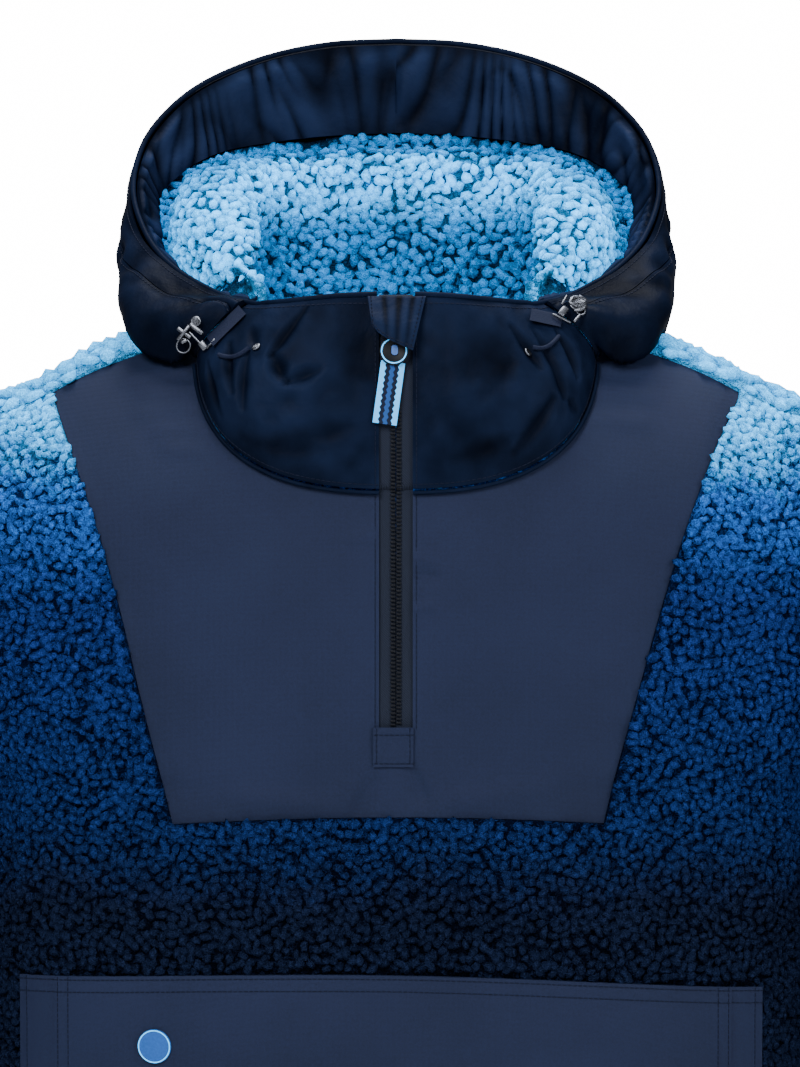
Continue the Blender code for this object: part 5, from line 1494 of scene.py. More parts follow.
def seam_share(shape, cells, *edges):
    """1 over a grid, sinking to 0 within so many cells of the named edges."""
    rows = np.minimum(np.arange(shape[0]), cells) / cells
    columns = np.minimum(np.arange(shape[1]), cells) / cells
    share = np.ones(shape[:2])
    if "top" in edges:
        share *= rows[:, None]
    if "bottom" in edges:
        share *= rows[::-1, None]
    if "left" in edges:
        share *= columns[None]
    if "right" in edges:
        share *= columns[None, ::-1]
    return share


def add_fleece(settings, finish):
    """The front, the back and both sleeves, each with its curls."""
    look = (finish, "fleece")
    points, normals, keep = front_pile_grid(settings.grid_step)
    shown = curled(points, normals, settings)
    hidden = points - FLEECE_WALL * normals
    add_sheet("pile_front", (shown, hidden), points, "hung", *look, "body_front", keep=keep)
    x, z = (((points[:-1, :-1] + points[1:, 1:]) / 2)[..., axis] for axis in (0, 2))
    under = (x > POCKET_PANELS[0]["start"]) & (x < POCKET_PANELS[-1]["end"])
    under &= (z < pocket_top(x)) & (z > POCKET_BOTTOM)
    add_curls("curls_front", (shown, normals), settings, *look, keep=keep & ~under)

    points, normals = back_pile_grid(settings.grid_step * COARSE_STEP)
    shown = curled(points, normals, settings)
    hidden = points - FLEECE_WALL * normals
    add_sheet("pile_back", (shown, hidden), points, "hung", *look, "body_back")
    add_curls("curls_back", (shown, normals), settings, *look, COARSE_CURLS)

    points, normals = sleeve_grid(settings.grid_step * COARSE_STEP)
    shown = curled(points, normals, settings)
    hidden = points - FLEECE_WALL * normals
    for side, word in SIDES:
        flip = np.array([side, 1.0, 1.0])
        grids = (shown * flip, hidden * flip)
        add_sheet("pile_sleeve_" + word, grids, points * flip, "hung", *look, "sleeve_" + word, closed=True)
        pair = [wrapped(grid) * flip for grid in (shown, normals)]
        add_curls("curls_sleeve_" + word, pair, settings, *look, COARSE_CURLS)


# Small lengthwise ripples of the yoke, below the hood's weight: the middle, the way they run, and their size
YOKE_RIPPLES = listed(
    "x z lean length width rise",
    (-0.134, 0.070, 8, 0.045, 0.0040, 0.0011),
    (-0.137, -0.014, 12, 0.048, 0.0042, 0.0012),
    (-0.130, -0.024, 6, 0.042, 0.0040, 0.0011),
    (-0.134, -0.034, 10, 0.040, 0.0040, 0.0010),
    (-0.127, -0.045, 4, 0.036, 0.0042, 0.0009),
    (-0.124, -0.056, -2, 0.030, 0.0042, 0.0008),
    (0.140, -0.010, -14, 0.046, 0.0046, 0.0010),
    (0.134, -0.024, -10, 0.040, 0.0042, 0.0009),
    (0.132, -0.040, -6, 0.036, 0.0044, 0.0008),
    (-0.018, -0.256, 62, 0.030, 0.0045, -0.0012),
    (0.013, -0.249, -70, 0.022, 0.0040, -0.0011),
    (0.017, -0.118, -20, 0.014, 0.0030, 0.0009),
    (0.018, -0.128, -12, 0.016, 0.0030, -0.0008),
    (0.017, -0.146, 10, 0.014, 0.0030, 0.0007),
    (-0.020, -0.105, 22, 0.016, 0.0034, 0.0007),
    (0.060, -0.255, 8, 0.070, 0.0070, 0.0008),
    (-0.070, -0.258, -6, 0.070, 0.0070, 0.0008),
)


def add_yoke(settings, finish, thread):
    """The woven bib with its slit, and the stitches along the slit."""
    points, normals, keep = yoke_grid(YOKE_STEP)
    rise = 2.0 * rippled(points, YOKE_RIPPLES, 4) + waves(points, "yoke")
    rise *= seam_share(points.shape, 3, "top", "left", "right")
    shown = points + rise[..., None] * normals
    hidden = shown - WOVEN_WALL * normals
    for grid in (shown, hidden):
        grid[:] = drawn_in(grid, SEAM_GAP, *ALL_EDGES)
    add_sheet("woven_yoke", (shown, hidden), points, "hung", finish, "woven_navy", "yoke", keep=keep)
    bm = bmesh.new()
    slit = int(np.argmin(keep[0]))
    low = int(np.argmax(keep[:, slit]))
    for column, way in ((slit, -1), (points.shape[1] - 1 - slit, 1)):
        line = shown[: low + 1, column] + np.array([way * EDGE_ROW, 0.0, 0.0])
        stitches(bm, line, normals[: low + 1, column], settings)
    add_piece("yoke_stitches", bm, thread)


def add_pocket(settings, finish, thread, badge, rim_finish):
    """The kangaroo pocket: a front panel between two set-back side strips, all sewn flat."""
    bm_thread = bmesh.new()
    for panel in POCKET_PANELS:
        x = even(panel["start"] + SEAM_GAP / 2, panel["end"] - SEAM_GAP / 2, POCKET_STEP)
        down = even(0.0, 1.0, POCKET_STEP / POCKET_SPAN)[:, None]
        z = pocket_top(x) + (POCKET_BOTTOM - pocket_top(x)) * down
        base, normals = lifted(front_points(np.broadcast_to(x, z.shape), z), 0.0)
        hidden = base + POCKET_LIFT * normals
        soft = seam_share(base.shape, 5, *ALL_EDGES)
        swell = panel["thick"] + waves(base, "pocket") * soft
        shown = hidden + swell[..., None] * normals
        name = "woven_" + panel["name"]
        add_sheet(name, (shown, hidden), base, "hung", finish, "woven_navy", panel["name"])
        rows = [("top", EDGE_ROW), ("top", SECOND_ROW), ("bottom", EDGE_ROW)]
        if panel["name"] == "pocket_front":
            rows += [(edge, row) for edge in ("left", "right") for row in (EDGE_ROW, SECOND_ROW)]
        else:
            rows.append(("left" if "left" in panel["name"] else "right", STRIP_ROW))
        sew(bm_thread, shown, normals, settings, rows)
    add_piece("pocket_stitches", bm_thread, thread)
    middle, size = middle_and_size("pocket_badge")
    radius = size[0] / 2
    out = nearest_out("woven_pocket_front", middle)
    bm = bmesh.new()
    plate = {"cap_ends": True, "segments": 48, "depth": BADGE_THICK}
    bmesh.ops.create_cone(bm, radius1=radius, radius2=radius * 0.97, **plate)
    rounded(bm, [edge for edge in bm.edges if all(vert.co.z > 0 for vert in edge.verts)], 0.0003, 2)
    seat(bm, middle, out)
    add_piece("round_badge", bm, badge, replaced=("pocket_badge",))
    place = middle + BADGE_THICK / 2 * out
    add_ring("badge_rim", radius * 0.92, 0.0004, 48, place, out, rim_finish, "badge")


def middle_and_size(node):
    """The middle and the size of a node's box."""
    low, high = (np.array(corner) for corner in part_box(node))
    return (low + high) / 2, high - low


def rounded(bm, edges, offset, segments):
    """Rounds off edges."""
    bmesh.ops.bevel(
        bm, geom=edges, offset=offset, affect="EDGES", segments=segments, profile=0.5, material=-1
    )


def add_ring(name, radius, thick, segments, place, out, finish, slot, body=GARMENT, replaced=()):
    """A ring of round wire that faces out."""
    bm = bmesh.new()
    bmesh.ops.create_circle(bm, segments=segments, radius=radius)
    hoop(bm, thick)
    seat(bm, place, out)
    add_piece(name, bm, finish, body, replaced)


def nearest_out(name, place):
    """The outward normal of a piece where it lies nearest to a place."""
    normal = tree_of(name).find_nearest(Vector(place))[1]
    return np.array(normal) * math.copysign(1.0, -normal.y)


def tree_of(*names):
    """One searchable tree of the named pieces' meshes."""
    points, polygons = [], []
    for name in names:
        mesh = bpy.data.objects[name].data
        first = len(points)
        points += [vertex.co.copy() for vertex in mesh.vertices]
        polygons += [[first + vertex for vertex in face.vertices] for face in mesh.polygons]
    return BVHTree.FromPolygons(points, polygons)


def seat(bm, place, out):
    """Turns a shape that faces +Z so that it faces out, and moves it to its place."""
    quarter = Matrix.Rotation(math.radians(90.0), 4, "X")
    turned = Matrix.Translation(place) @ upright((0.0, 0.0, 1.0), out).to_4x4() @ quarter
    bmesh.ops.transform(bm, matrix=turned, verts=bm.verts)


# Creases of the padded collar: the turn and the rise (0 seam, 1 top) where each starts and ends
COLLAR_CREASES = listed(
    "side turn rise to_turn to_rise width depth",
    (-1, 37, 0.93, 41, 0.66, 0.0055, 0.0052),
    (-1, 41, 0.66, 31, 0.52, 0.0050, 0.0055),
    (-1, 31, 0.52, 21, 0.60, 0.0048, 0.0048),
    (-1, 52, 0.62, 45, 0.30, 0.0050, 0.0040),
    (-1, 66, 0.62, 52, 0.36, 0.0055, 0.0044),
    (-1, 72, 0.36, 56, 0.16, 0.0050, 0.0034),
    (-1, 60, 0.78, 50, 0.70, 0.0050, 0.0030),
    (-1, 33, 0.16, 9, 0.32, 0.0070, 0.0022),
    (-1, 44, 0.12, 16, 0.18, 0.0060, 0.0020),
    (1, 44, 0.82, 47, 0.56, 0.0050, 0.0045),
    (1, 55, 0.76, 54, 0.30, 0.0050, 0.0042),
    (1, 70, 0.72, 65, 0.34, 0.0055, 0.0048),
    (1, 48, 0.34, 30, 0.12, 0.0060, 0.0050),
    (1, 30, 0.22, 12, 0.16, 0.0065, 0.0026),
    (1, 56, 0.26, 60, 0.12, 0.0045, 0.0030),
    (1, 36, 0.62, 22, 0.46, 0.0075, 0.0022),
)
TURN_REACH = 0.0019  # metres along the collar to a degree of turn
PUFF = 0.30  # how far the cloth beside a crease puffs out, as a share of its depth
PUFF_REACH = 2.4


def collar_press(side, turns, shares):
    """How deep the creases press the collar in, less the puffs beside them."""
    here = np.stack([turns * TURN_REACH, shares * COLLAR_RISE], axis=-1)
    total = np.zeros(turns.shape)
    for fold in COLLAR_CREASES:
        if fold["side"] == side:
            start = (fold["turn"] * TURN_REACH, fold["rise"] * COLLAR_RISE)
            end = (fold["to_turn"] * TURN_REACH, fold["to_rise"] * COLLAR_RISE)
            total += fold["depth"] * crease(here, start, end, fold["width"])
            total -= PUFF * fold["depth"] * crease(here, start, end, fold["width"] * PUFF_REACH)
    return total


def add_collar(settings, finish, thread):
    """The padded stand collar, in two halves that meet at the zip."""
    bm_thread = bmesh.new()
    for side, word in SIDES:
        points, turns, shares = collar_grid(COLLAR_STEP)
        smooth = points * np.array([side, 1.0, 1.0])
        normals = grid_normals(smooth) * -side
        kept = np.sin(math.pi * np.clip(shares, 0.0, 1.0)) ** 0.5
        kept *= seam_share(points.shape, 4, "left")
        press = collar_press(side, turns, shares)
        crumple = waves(smooth, "collar")
        shown = smooth + ((crumple - press * settings.crease_depth) * kept)[..., None] * normals
        hidden = smooth - COLLAR_WALL * normals
        for grid in (shown, hidden):
            grid[:] = drawn_in(grid, SEAM_GAP, "bottom", "right")
            grid[:] = drawn_in(grid, PIPING_RADIUS + SEAM_GAP, "top")
            grid[:, 0, 0] = side * ZIP_HALF_WIDTH
        name = "collar_" + word
        look = (finish, "padded_navy", name)
        # Painted light and shade: crumples painted lighter, creases painted darker
        way = (crumple * CRUMPLE_PAINTED_LIGHT - press * PRESS_PAINTED_SHADE, 0.0)
        add_sheet("padded_" + name, (shown, hidden), smooth, "folded", *look, way=way)
        sew(bm_thread, shown, normals, settings, COLLAR_ROWS)
        stitches(bm_thread, inset(shown, EDGE_ROW, "left")[6:], inset(normals, 0.0, "left")[6:], settings)
    add_piece("collar_stitches", bm_thread, thread)


PUCKER_RISE = 0.0013
PUCKER_REACH = 0.05  # from the band's seam, as a share of the shell
LEAST_RISE = -0.0014  # as far as the padded cloth can sink


def add_hood(settings, finish, thread):
    """The hood's shell: on each side a panel, and the band along its rim."""
    turns = np.linspace(COLLAR_END, 180.0, 130)
    band_shares = np.linspace(0.0, BAND_SHARE, 12)
    panel_shares = np.linspace(BAND_SHARE, 1.0, 46)
    shares = np.concatenate([band_shares, panel_shares[1:]])
    bm_thread = bmesh.new()
    for side, word in SIDES:
        line = shell_grid(turns, shares) * np.array([side, 1.0, 1.0])
        normals = grid_normals(line) * -side
        soft = seam_share(line.shape, 6, "top", "bottom", "right")
        from_seam = np.clip(np.abs(shares - BAND_SHARE) / PUCKER_REACH, 0.0, 1.0)[:, None]
        ease = np.sin(np.radians(turns) * 46.0 + 2.0 * np.sin(np.radians(turns) * 9.0))
        puckers = PUCKER_RISE * ease * np.exp(-(((shares - BAND_SHARE) / PUCKER_REACH) ** 2))[:, None]
        rise = waves(line, "hood") * from_seam + puckers
        hidden = line + SHELL_CLEAR * normals
        shown = hidden + (SHELL_WALL + np.maximum(rise * soft, LEAST_RISE))[..., None] * normals
        for grid in (shown, hidden):
            grid[:] = drawn_in(grid, SEAM_GAP, "left")
            grid[:] = off_rim(grid, PIPING_RADIUS + RIM_GAP)
            grid[:, -1, 0] = side * MEETING
        seam = len(band_shares) - 1
        # Painted light and shade: raised puckers and waves painted lighter, and the shell painted darker all
        # over
        folds = rise * soft * HOOD_PAINTED_LIGHT - HOOD_PAINTED_SHADE
        for part, rows, gap in (("band", slice(0, seam + 1), "bottom"), ("side", slice(seam, None), "top")):
            cut = [drawn_in(grid[rows], SEAM_GAP, gap) for grid in (shown, hidden)]
            name = "hood_" + part + "_" + word
            look = (finish, "padded_navy", name)
            add_sheet("padded_" + name, cut, line[rows], "folded", *look, way=(folds[rows], 0.0))
        stitches(bm_thread, inset(shown[seam:], HOOD_SEAM_ROW, "top"), normals[seam], settings)
        stitches(bm_thread, inset(shown, HOOD_RIM_ROW, "top"), normals[0], settings)
    add_piece("hood_stitches", bm_thread, thread)


# Gathers of the facing: how deep they are, by share of the way from the rim to the lining
FACING_PUCKERS = table("share pucker", (0.0, 0.45), (0.2, 0.95), (0.5, 0.8), (0.8, 1.0), (1.0, 0.7))


def add_facing(settings, finish):
    """The gathered facing inside the rim, taken up in uneven puckers that fan from both of its edges."""
    turns = np.linspace(COLLAR_END, 180.0, 300)
    shares = np.linspace(0.0, 1.0, 18)
    for side, word in SIDES:
        line = facing_grid(turns, shares) * np.array([side, 1.0, 1.0])
        normals = grid_normals(line) * side
        along = distances(line[10])
        lift = np.zeros(line.shape[:2])
        for edge, pitch, twist in ((shares, 0.0230, 1.0), (1.0 - shares, 0.0170, 5.0)):
            phase = along / pitch + 0.7 * np.sin(along * 47.0 + twist * side)
            phase += 0.4 * np.sin(along * 109.0 + twist)
            lean = edge[:, None] * 1.5 * np.sin(along * 39.0 + 2.0 * side + twist)
            gather = 1.0 - np.abs(np.sin(math.pi * (phase + lean)))
            deep = np.clip(0.65 + 0.55 * np.sin(along * 71.0 + twist), 0.12, 1.0)
            lift += (1.0 - gather**1.3) * deep * (1.0 - 0.75 * edge[:, None])
        pucker = read(FACING_PUCKERS, "pucker", shares)[:, None]
        fold = lift * pucker / 1.2
        rise = settings.gather_depth * fold + waves(line, "facing")
        rise = rise * seam_share(line.shape, 3, "top", "right")
        hidden = line + SHELL_CLEAR * normals
        shown = line + (SHELL_CLEAR + FACING_WALL + np.maximum(rise, -0.0002))[..., None] * normals
        for grid in (shown, hidden):
            grid[:] = off_rim(grid, PIPING_RADIUS + RIM_GAP)
            grid[:] = drawn_in(grid, SEAM_GAP, "bottom", "left")
            grid[:, -1, 0] = side * MEETING
        name = "hood_facing_" + word
        look = (finish, "padded_navy", name)
        # Painted light and shade: the gathers' ridges painted lighter, their valleys darker, and the facing
        # painted darker all over
        way = (GATHER_PAINTED_LIGHT * fold - GATHER_PAINTED_SHADE, 0.0)
        add_sheet("gathered_" + name, (shown, hidden), line, "gathered", *look, way=way)


# Painted shade on the lining: how deep in colour it is painted at the front and back, by share of the way
# over the fold and down inside
LINING_PAINTED_SHADE = table(
    "share front back",
    (0.00, 1.00, 1.00),
    (0.12, 0.90, 1.00),
    (0.22, 0.05, 1.00),
    (0.54, 0.00, 0.95),
    (0.61, 0.05, 0.10),
    (0.70, 0.35, 0.00),
    (0.76, 1.00, 0.30),
    (0.84, 1.00, 0.95),
    (1.00, 1.00, 1.00),
)


# Two short notches in the fat fold's crest: the (x, z) of their middles
NOTCHES = ((-0.052, 0.118), (0.066, 0.118))
NOTCH_DEPTH = 0.0060


def add_lining(settings, finish):
    """The light pile lining: over the fat fold, and down inside the collar."""
    points, normals = lining_grid(LINING_STEP)
    notches = sum(
        NOTCH_DEPTH * np.exp(-(((points[..., 0] - x) / 0.006) ** 2) - ((points[..., 2] - z) / 0.022) ** 2)
        for x, z in NOTCHES
    )
    folds = waves(points, "lining") * seam_share(points.shape, 8, *ALL_EDGES)
    rise = folds - notches
    shown = curled(points + rise[..., None] * normals, normals, settings, 1.2)
    hidden = points - LINING_WALL * normals
    for grid in (shown, hidden):
        grid[:] = drawn_in(grid, SEAM_GAP, "top")
    shares = np.linspace(0.0, 1.0, len(points))
    # Painted shade on the lining, deepest down inside the neck and in the trough behind the fold
    back = np.clip((points[..., 1] - 0.020) / 0.050, 0.0, 1.0)
    deep = read(LINING_PAINTED_SHADE, "front", shares)[:, None] * (1.0 - back)
    deep += read(LINING_PAINTED_SHADE, "back", shares)[:, None] * back
    deep *= np.clip((points[..., 1] + 0.050) / 0.030, 0.0, 1.0)
    look = (finish, "lining_fleece")
    add_sheet("pile_lining", (shown, hidden), points, "folded", *look, "hood_lining", way=(deep, 0.0))
    add_curls("curls_lining", (shown, normals), settings, *look, 1.15, deep=deep)


def add_piping(finish):
    """Piping along the hood's open edge and in the neck seam."""
    turns = np.linspace(3.0, 180.0, 150)
    half = read_points(RIM, "", turns)
    path = np.concatenate([half, half[-2::-1] * MIRROR])
    tube("corded_rim", path, PIPING_RADIUS, finish, "rim_piping")
    turns = np.linspace(FRONT_TURN, COLLAR_END, 90)
    place = neck_line(turns)
    normals = body_normals(place)
    tangent = unit(neck_line(turns + 1.0) - neck_line(turns - 1.0))
    down = np.cross(tangent, normals)
    down *= np.sign(down[:, :1] * place[:, :1] - down[:, 2:])
    place = place + NECK_PIPING_DROP * down + NECK_PIPING_LIFT * normals
    for side, word in SIDES:
        name = "neck_piping_" + word
        path = place * np.array([side, 1.0, 1.0])
        tube("corded_" + name, path, NECK_PIPING_RADIUS, finish, name)


FORWARDS = np.array([0.0, -1.0, 0.0])


def strip(heights, left, right, offset, thick, across):
    """A narrow upright strip on the centre line, facing the viewer: its shown and hidden grids."""
    shares = np.linspace(0.0, 1.0, across)
    x = left[:, None] + (right - left)[:, None] * shares
    y = np.broadcast_to(centre_line(heights)[:, None] - offset, x.shape)
    z = np.broadcast_to(heights[:, None], x.shape)
    shown = np.stack([x, y, z], axis=-1)
    return shown, shown + np.array([0.0, thick, 0.0])


def add_zip(trim, settings, tape, cloth_finish, teeth, thread):
    """The zip: two tapes, two rows of teeth, and the end patch with its stitches."""
    heights = even(ZIP_TOP, ZIP_END_HEIGHT + 0.0008, TAPE_STEP)
    inner = np.full(len(heights), SEAM_GAP / 2)
    outer = np.full(len(heights), ZIP_HALF_WIDTH + TAPE_OVERLAP)
    for side, word in SIDES:
        grids = strip(heights, side * inner, side * outer, -TAPE_BEHIND, TAPE_THICK, across=7)
        name = "zip_tape_" + word
        add_sheet("ribbed_" + name, grids, grids[0], "stretched", tape, "zip_tape", name)
    bm = bmesh.new()
    for height in np.arange(heights[-1] + 0.002, SLIDER_HEIGHT - 0.006, trim.tooth_pitch):
        for side, shift in ((-1, 0.0), (1, trim.tooth_pitch / 2)):
            y = float(centre_line(height + shift)) + TOOTH_BEHIND
            place = (side * TOOTH_X, y, height + shift)
            size = Matrix.Diagonal((TOOTH_WIDTH, TOOTH_DEPTH, trim.tooth_pitch * 0.56, 1.0))
            bmesh.ops.create_cube(bm, size=1.0, matrix=Matrix.Translation(place) @ size)
    rounded(bm, bm.edges[:], 0.00022, 1)
    add_piece("zip_teeth", bm, teeth)

    heights = even(ZIP_END_HEIGHT + PATCH_ABOVE, ZIP_END_HEIGHT - PATCH_BELOW, PATCH_STEP)
    left, right = np.full(len(heights), PATCH_LEFT), np.full(len(heights), PATCH_RIGHT)
    shown, hidden = strip(heights, left, right, PATCH_PROUD, PATCH_THICK, across=18)
    shown[..., 1] -= waves(shown, "zip_end") * seam_share(shown.shape, 3, *ALL_EDGES)
    look = (cloth_finish, "woven_navy", "zip_end_patch")
    add_sheet("woven_zip_end", (shown, hidden), shown, "stretched", *look)
    bm = bmesh.new()
    sew(bm, shown, np.broadcast_to(FORWARDS, shown.shape), settings, PATCH_ROWS)
    add_piece("zip_end_stitches", bm, thread)


# Creases of the zip flap, by the x of each one's ends
FLAP_CREASES = listed(
    "top foot depth width",
    (-0.007, -0.005, 0.0010, 0.0016),
    (0.002, 0.0005, 0.0012, 0.0018),
    (0.010, 0.0060, 0.0010, 0.0016),
)


def add_flap(settings, finish, thread):
    """The flap that houses the zip's top. Its low corner hangs over the round pull."""
    across = np.linspace(0.0, 1.0, 41)
    key = np.linspace(0.0, 1.0, len(FLAP["top_x"]))
    top_x, foot_x, foot_z = (np.interp(across, key, FLAP[name]) for name in ("top_x", "foot_x", "foot_z"))
    shares = np.linspace(0.0, 1.0, 26)[:, None]
    x = top_x + (foot_x - top_x) * shares
    z = FLAP_TOP + (foot_z - FLAP_TOP) * shares
    y = centre_line(z) - read(FLAP_LIFTS, "lift", shares) - FLAP_CLEAR * shares
    hidden = np.stack([x, y, z], axis=-1)
    press = np.zeros(x.shape)
    for fold in FLAP_CREASES:
        middle = fold["top"] + (fold["foot"] - fold["top"]) * shares
        press += fold["depth"] * np.exp(-(((x - middle) / fold["width"]) ** 2)) * (1.0 - 0.6 * shares)
    puff = 0.0014 * np.sin(math.pi * across) ** 0.5
    puff = puff * np.sin(math.pi * np.clip(shares, 0.05, 0.95)) ** 0.5
    shown = hidden + (FLAP_WALL + np.maximum(puff - press, 0.0))[..., None] * FORWARDS
    look = (finish, "padded_navy", "zip_flap")
    # Painted light and shade: the flap painted lighter, its creases painted darker
    way = (FLAP_PAINTED_LIGHT - press * FLAP_PAINTED_SHADE, 0.0)
    add_sheet("padded_zip_flap", (shown, hidden), hidden, "stretched", *look, way=way)
    bm = bmesh.new()
    sew(bm, shown, np.broadcast_to(FORWARDS, shown.shape), settings, FLAP_ROWS)
    add_piece("flap_stitches", bm, thread)


def add_slider(metal):
    """The zip's slider, a plate behind the place where the pull hangs."""
    middle, size = middle_and_size("zip_slider")
    bm = bmesh.new()
    plate = Matrix.Translation(middle) @ Matrix.Diagonal((*(size * np.array([1.0, 0.7, 1.0])), 1.0))
    bmesh.ops.create_cube(bm, size=1.0, matrix=plate)
    rounded(bm, bm.edges[:], 0.0005, 2)
    add_piece("zip_slider_plate", bm, metal, replaced=("zip_slider",))


def facing_of(node):
    """The way that a node's largest face looks, turned to the front."""
    normal = np.array(max(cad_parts[node].data.polygons, key=lambda face: face.area).normal)
    return normal * -math.copysign(1.0, normal[1])


def add_pull(rubber, ring, bail):
    """The round pull, with its light ring and the bail that the ribbon runs through."""
    middle, size = middle_and_size("pull_disc")
    radius = size[0] / 2
    out = facing_of("pull_disc")
    bm = bmesh.new()
    bmesh.ops.create_cone(bm, cap_ends=True, segments=64, radius1=radius, radius2=radius, depth=DISC_THICK)
    caps = [face for face in bm.faces if len(face.verts) > 4]
    bmesh.ops.inset_individual(bm, faces=caps, thickness=radius * 0.22, depth=0.0)
    bmesh.ops.inset_individual(bm, faces=caps, thickness=radius * 0.05, depth=-0.00035)
    sharp = [edge for edge in bm.edges if abs(edge.calc_face_angle(0.0)) > 1.0]
    rounded(bm, [edge for edge in sharp if edge.calc_length() < radius], 0.00012, 1)
    seat(bm, middle, out)
    add_piece("round_pull", bm, rubber, body=PULL, replaced=("pull_disc",))

    place = middle + out * (DISC_THICK / 2 + 0.00002)
    add_ring("pull_ring", radius * 0.86, 0.00042, 64, place, out, ring, "ribbon", body=PULL)

    bm = bmesh.new()
    bmesh.ops.create_cube(bm, size=1.0, matrix=Matrix.Diagonal((0.0038, 0.0060, 0.0007, 1.0)))
    sides = [edge for edge in bm.edges if abs(edge.verts[0].co.z - edge.verts[1].co.z) > 0.0005]
    rounded(bm, sides, 0.0017, 6)
    seat(bm, middle + out * (DISC_THICK / 2) + np.array([0.0004, 0.0, 0.0004]), out)
    add_piece("pull_bail", bm, bail, body=PULL)


RIBBON_LEAN = math.radians(8.0)
RIBBON_WAVE = 0.00022


def add_ribbon(stripes):
    """The striped ribbon that holds the round pull."""
    points = np.array([vertex.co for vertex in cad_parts["pull_ribbon"].data.vertices])
    facing = facing_of("pull_ribbon")
    centre = points.mean(axis=0)
    front = points[(points - centre) @ facing > 0]
    side_way = np.array([math.cos(RIBBON_LEAN), 0.0, -math.sin(RIBBON_LEAN)])
    up_way = unit(np.cross(facing, side_way)) * -1.0
    up_way *= math.copysign(1.0, up_way[2])
    half_width, half_length = (np.abs((front - centre) @ way).max() for way in (side_way, up_way))
    across = np.linspace(-1.0, 1.0, 15)
    down = np.linspace(-1.0, 1.0, 45)[:, None]
    wave = RIBBON_WAVE * np.sin(down * 5.0 + across)
    shown = centre + (
        half_width * across[..., None] * side_way
        - half_length * down[..., None] * up_way
        + (RIBBON_THICK / 2 - RIBBON_WAVE + wave)[..., None] * facing
    )
    hidden = shown - (RIBBON_THICK - 0.0004) * facing
    look = (stripes, "ribbon", "pull_ribbon")
    way = (across * 0.5, down * half_length)
    add_sheet("striped_ribbon", (shown, hidden), shown, "hung", *look, body=PULL, way=way)


HOOP_SIDES = 10


def hoop(bm, radius):
    """Turns a circle of edges in the XY plane into a ring: loops are laid round it and bridged."""
    ring = bm.edges[:]
    loops = []
    for step in range(HOOP_SIDES):
        angle = 2 * math.pi * step / HOOP_SIDES
        new = bmesh.ops.duplicate(bm, geom=ring)["geom"]
        verts = [item for item in new if isinstance(item, bmesh.types.BMVert)]
        for vert in verts:
            out = Vector((vert.co.x, vert.co.y, 0.0)).normalized()
            vert.co += out * radius * math.cos(angle) + Vector((0.0, 0.0, radius * math.sin(angle)))
        loops.append([item for item in new if isinstance(item, bmesh.types.BMEdge)])
    bmesh.ops.delete(bm, geom=ring, context="EDGES")
    for here, there in zip(loops, loops[1:] + loops[:1]):
        bmesh.ops.bridge_loops(bm, edges=here + there)
    bmesh.ops.delete(bm, geom=[vert for vert in bm.verts if not vert.link_faces], context="VERTS")


# The (x, z) ends of each adjuster's webbing tab and of its cord
ADJUSTERS = (
    ("left", ((-0.0905, 0.0245), (-0.1095, 0.0060)), ((-0.1040, -0.0010), (-0.0860, 0.0034))),
    ("right", ((0.0790, 0.0225), (0.0975, 0.0180)), ((0.0955, 0.0095), (0.0800, 0.0040))),
)

# Each adjuster's round bars and rings, from its middle: proud is how far a part stands off, in metres
FITTING_BARS = {
    "left": listed(
        "x z to_x to_z wide proud",
        (-0.0044, 0.0080, 0.0040, 0.0022, 0.0026, 0.0012),
        (-0.0046, 0.0034, 0.0052, -0.0056, 0.0012, 0.0010),
        (0.0022, -0.0024, 0.0062, -0.0068, 0.0040, 0.0004),
        (0.0066, -0.0064, 0.0116, -0.0006, 0.0013, 0.0010),
        (-0.0118, 0.0054, -0.0032, -0.0002, 0.0024, 0.0012),
        (-0.0042, 0.0068, -0.0110, -0.0020, 0.0022, 0.0022),
        (-0.0088, -0.0034, -0.0052, -0.0014, 0.0024, 0.0018),
    ),
    "right": listed(
        "x z to_x to_z wide proud",
        (-0.0048, 0.0030, 0.0002, 0.0094, 0.0012, 0.0010),
        (-0.0074, -0.0044, -0.0022, 0.0010, 0.0042, 0.0006),
        (-0.0122, -0.0036, -0.0022, -0.0102, 0.0013, 0.0010),
        (0.0000, -0.0096, 0.0052, -0.0046, 0.0018, 0.0008),
        (0.0000, 0.0034, 0.0036, 0.0076, 0.0020, 0.0016),
        (0.0000, 0.0034, 0.0042, 0.0006, 0.0016, 0.0020),
        (0.0074, 0.0088, 0.0114, 0.0052, 0.0020, 0.0012),
        (0.0018, -0.0020, 0.0072, -0.0014, 0.0015, 0.0014),
    ),
}
FITTING_RINGS = {
    "left": listed(
        "x z radius thick proud",
        (-0.0076, -0.0050, 0.0042, 0.0005, 0.0012),
        (-0.0008, 0.0096, 0.0026, 0.0006, 0.0006),
    ),
    "right": listed(
        "x z radius thick proud",
        (0.0056, 0.0036, 0.0050, 0.0006, 0.0010),
        (0.0064, -0.0010, 0.0030, 0.0005, 0.0004),
    ),
}


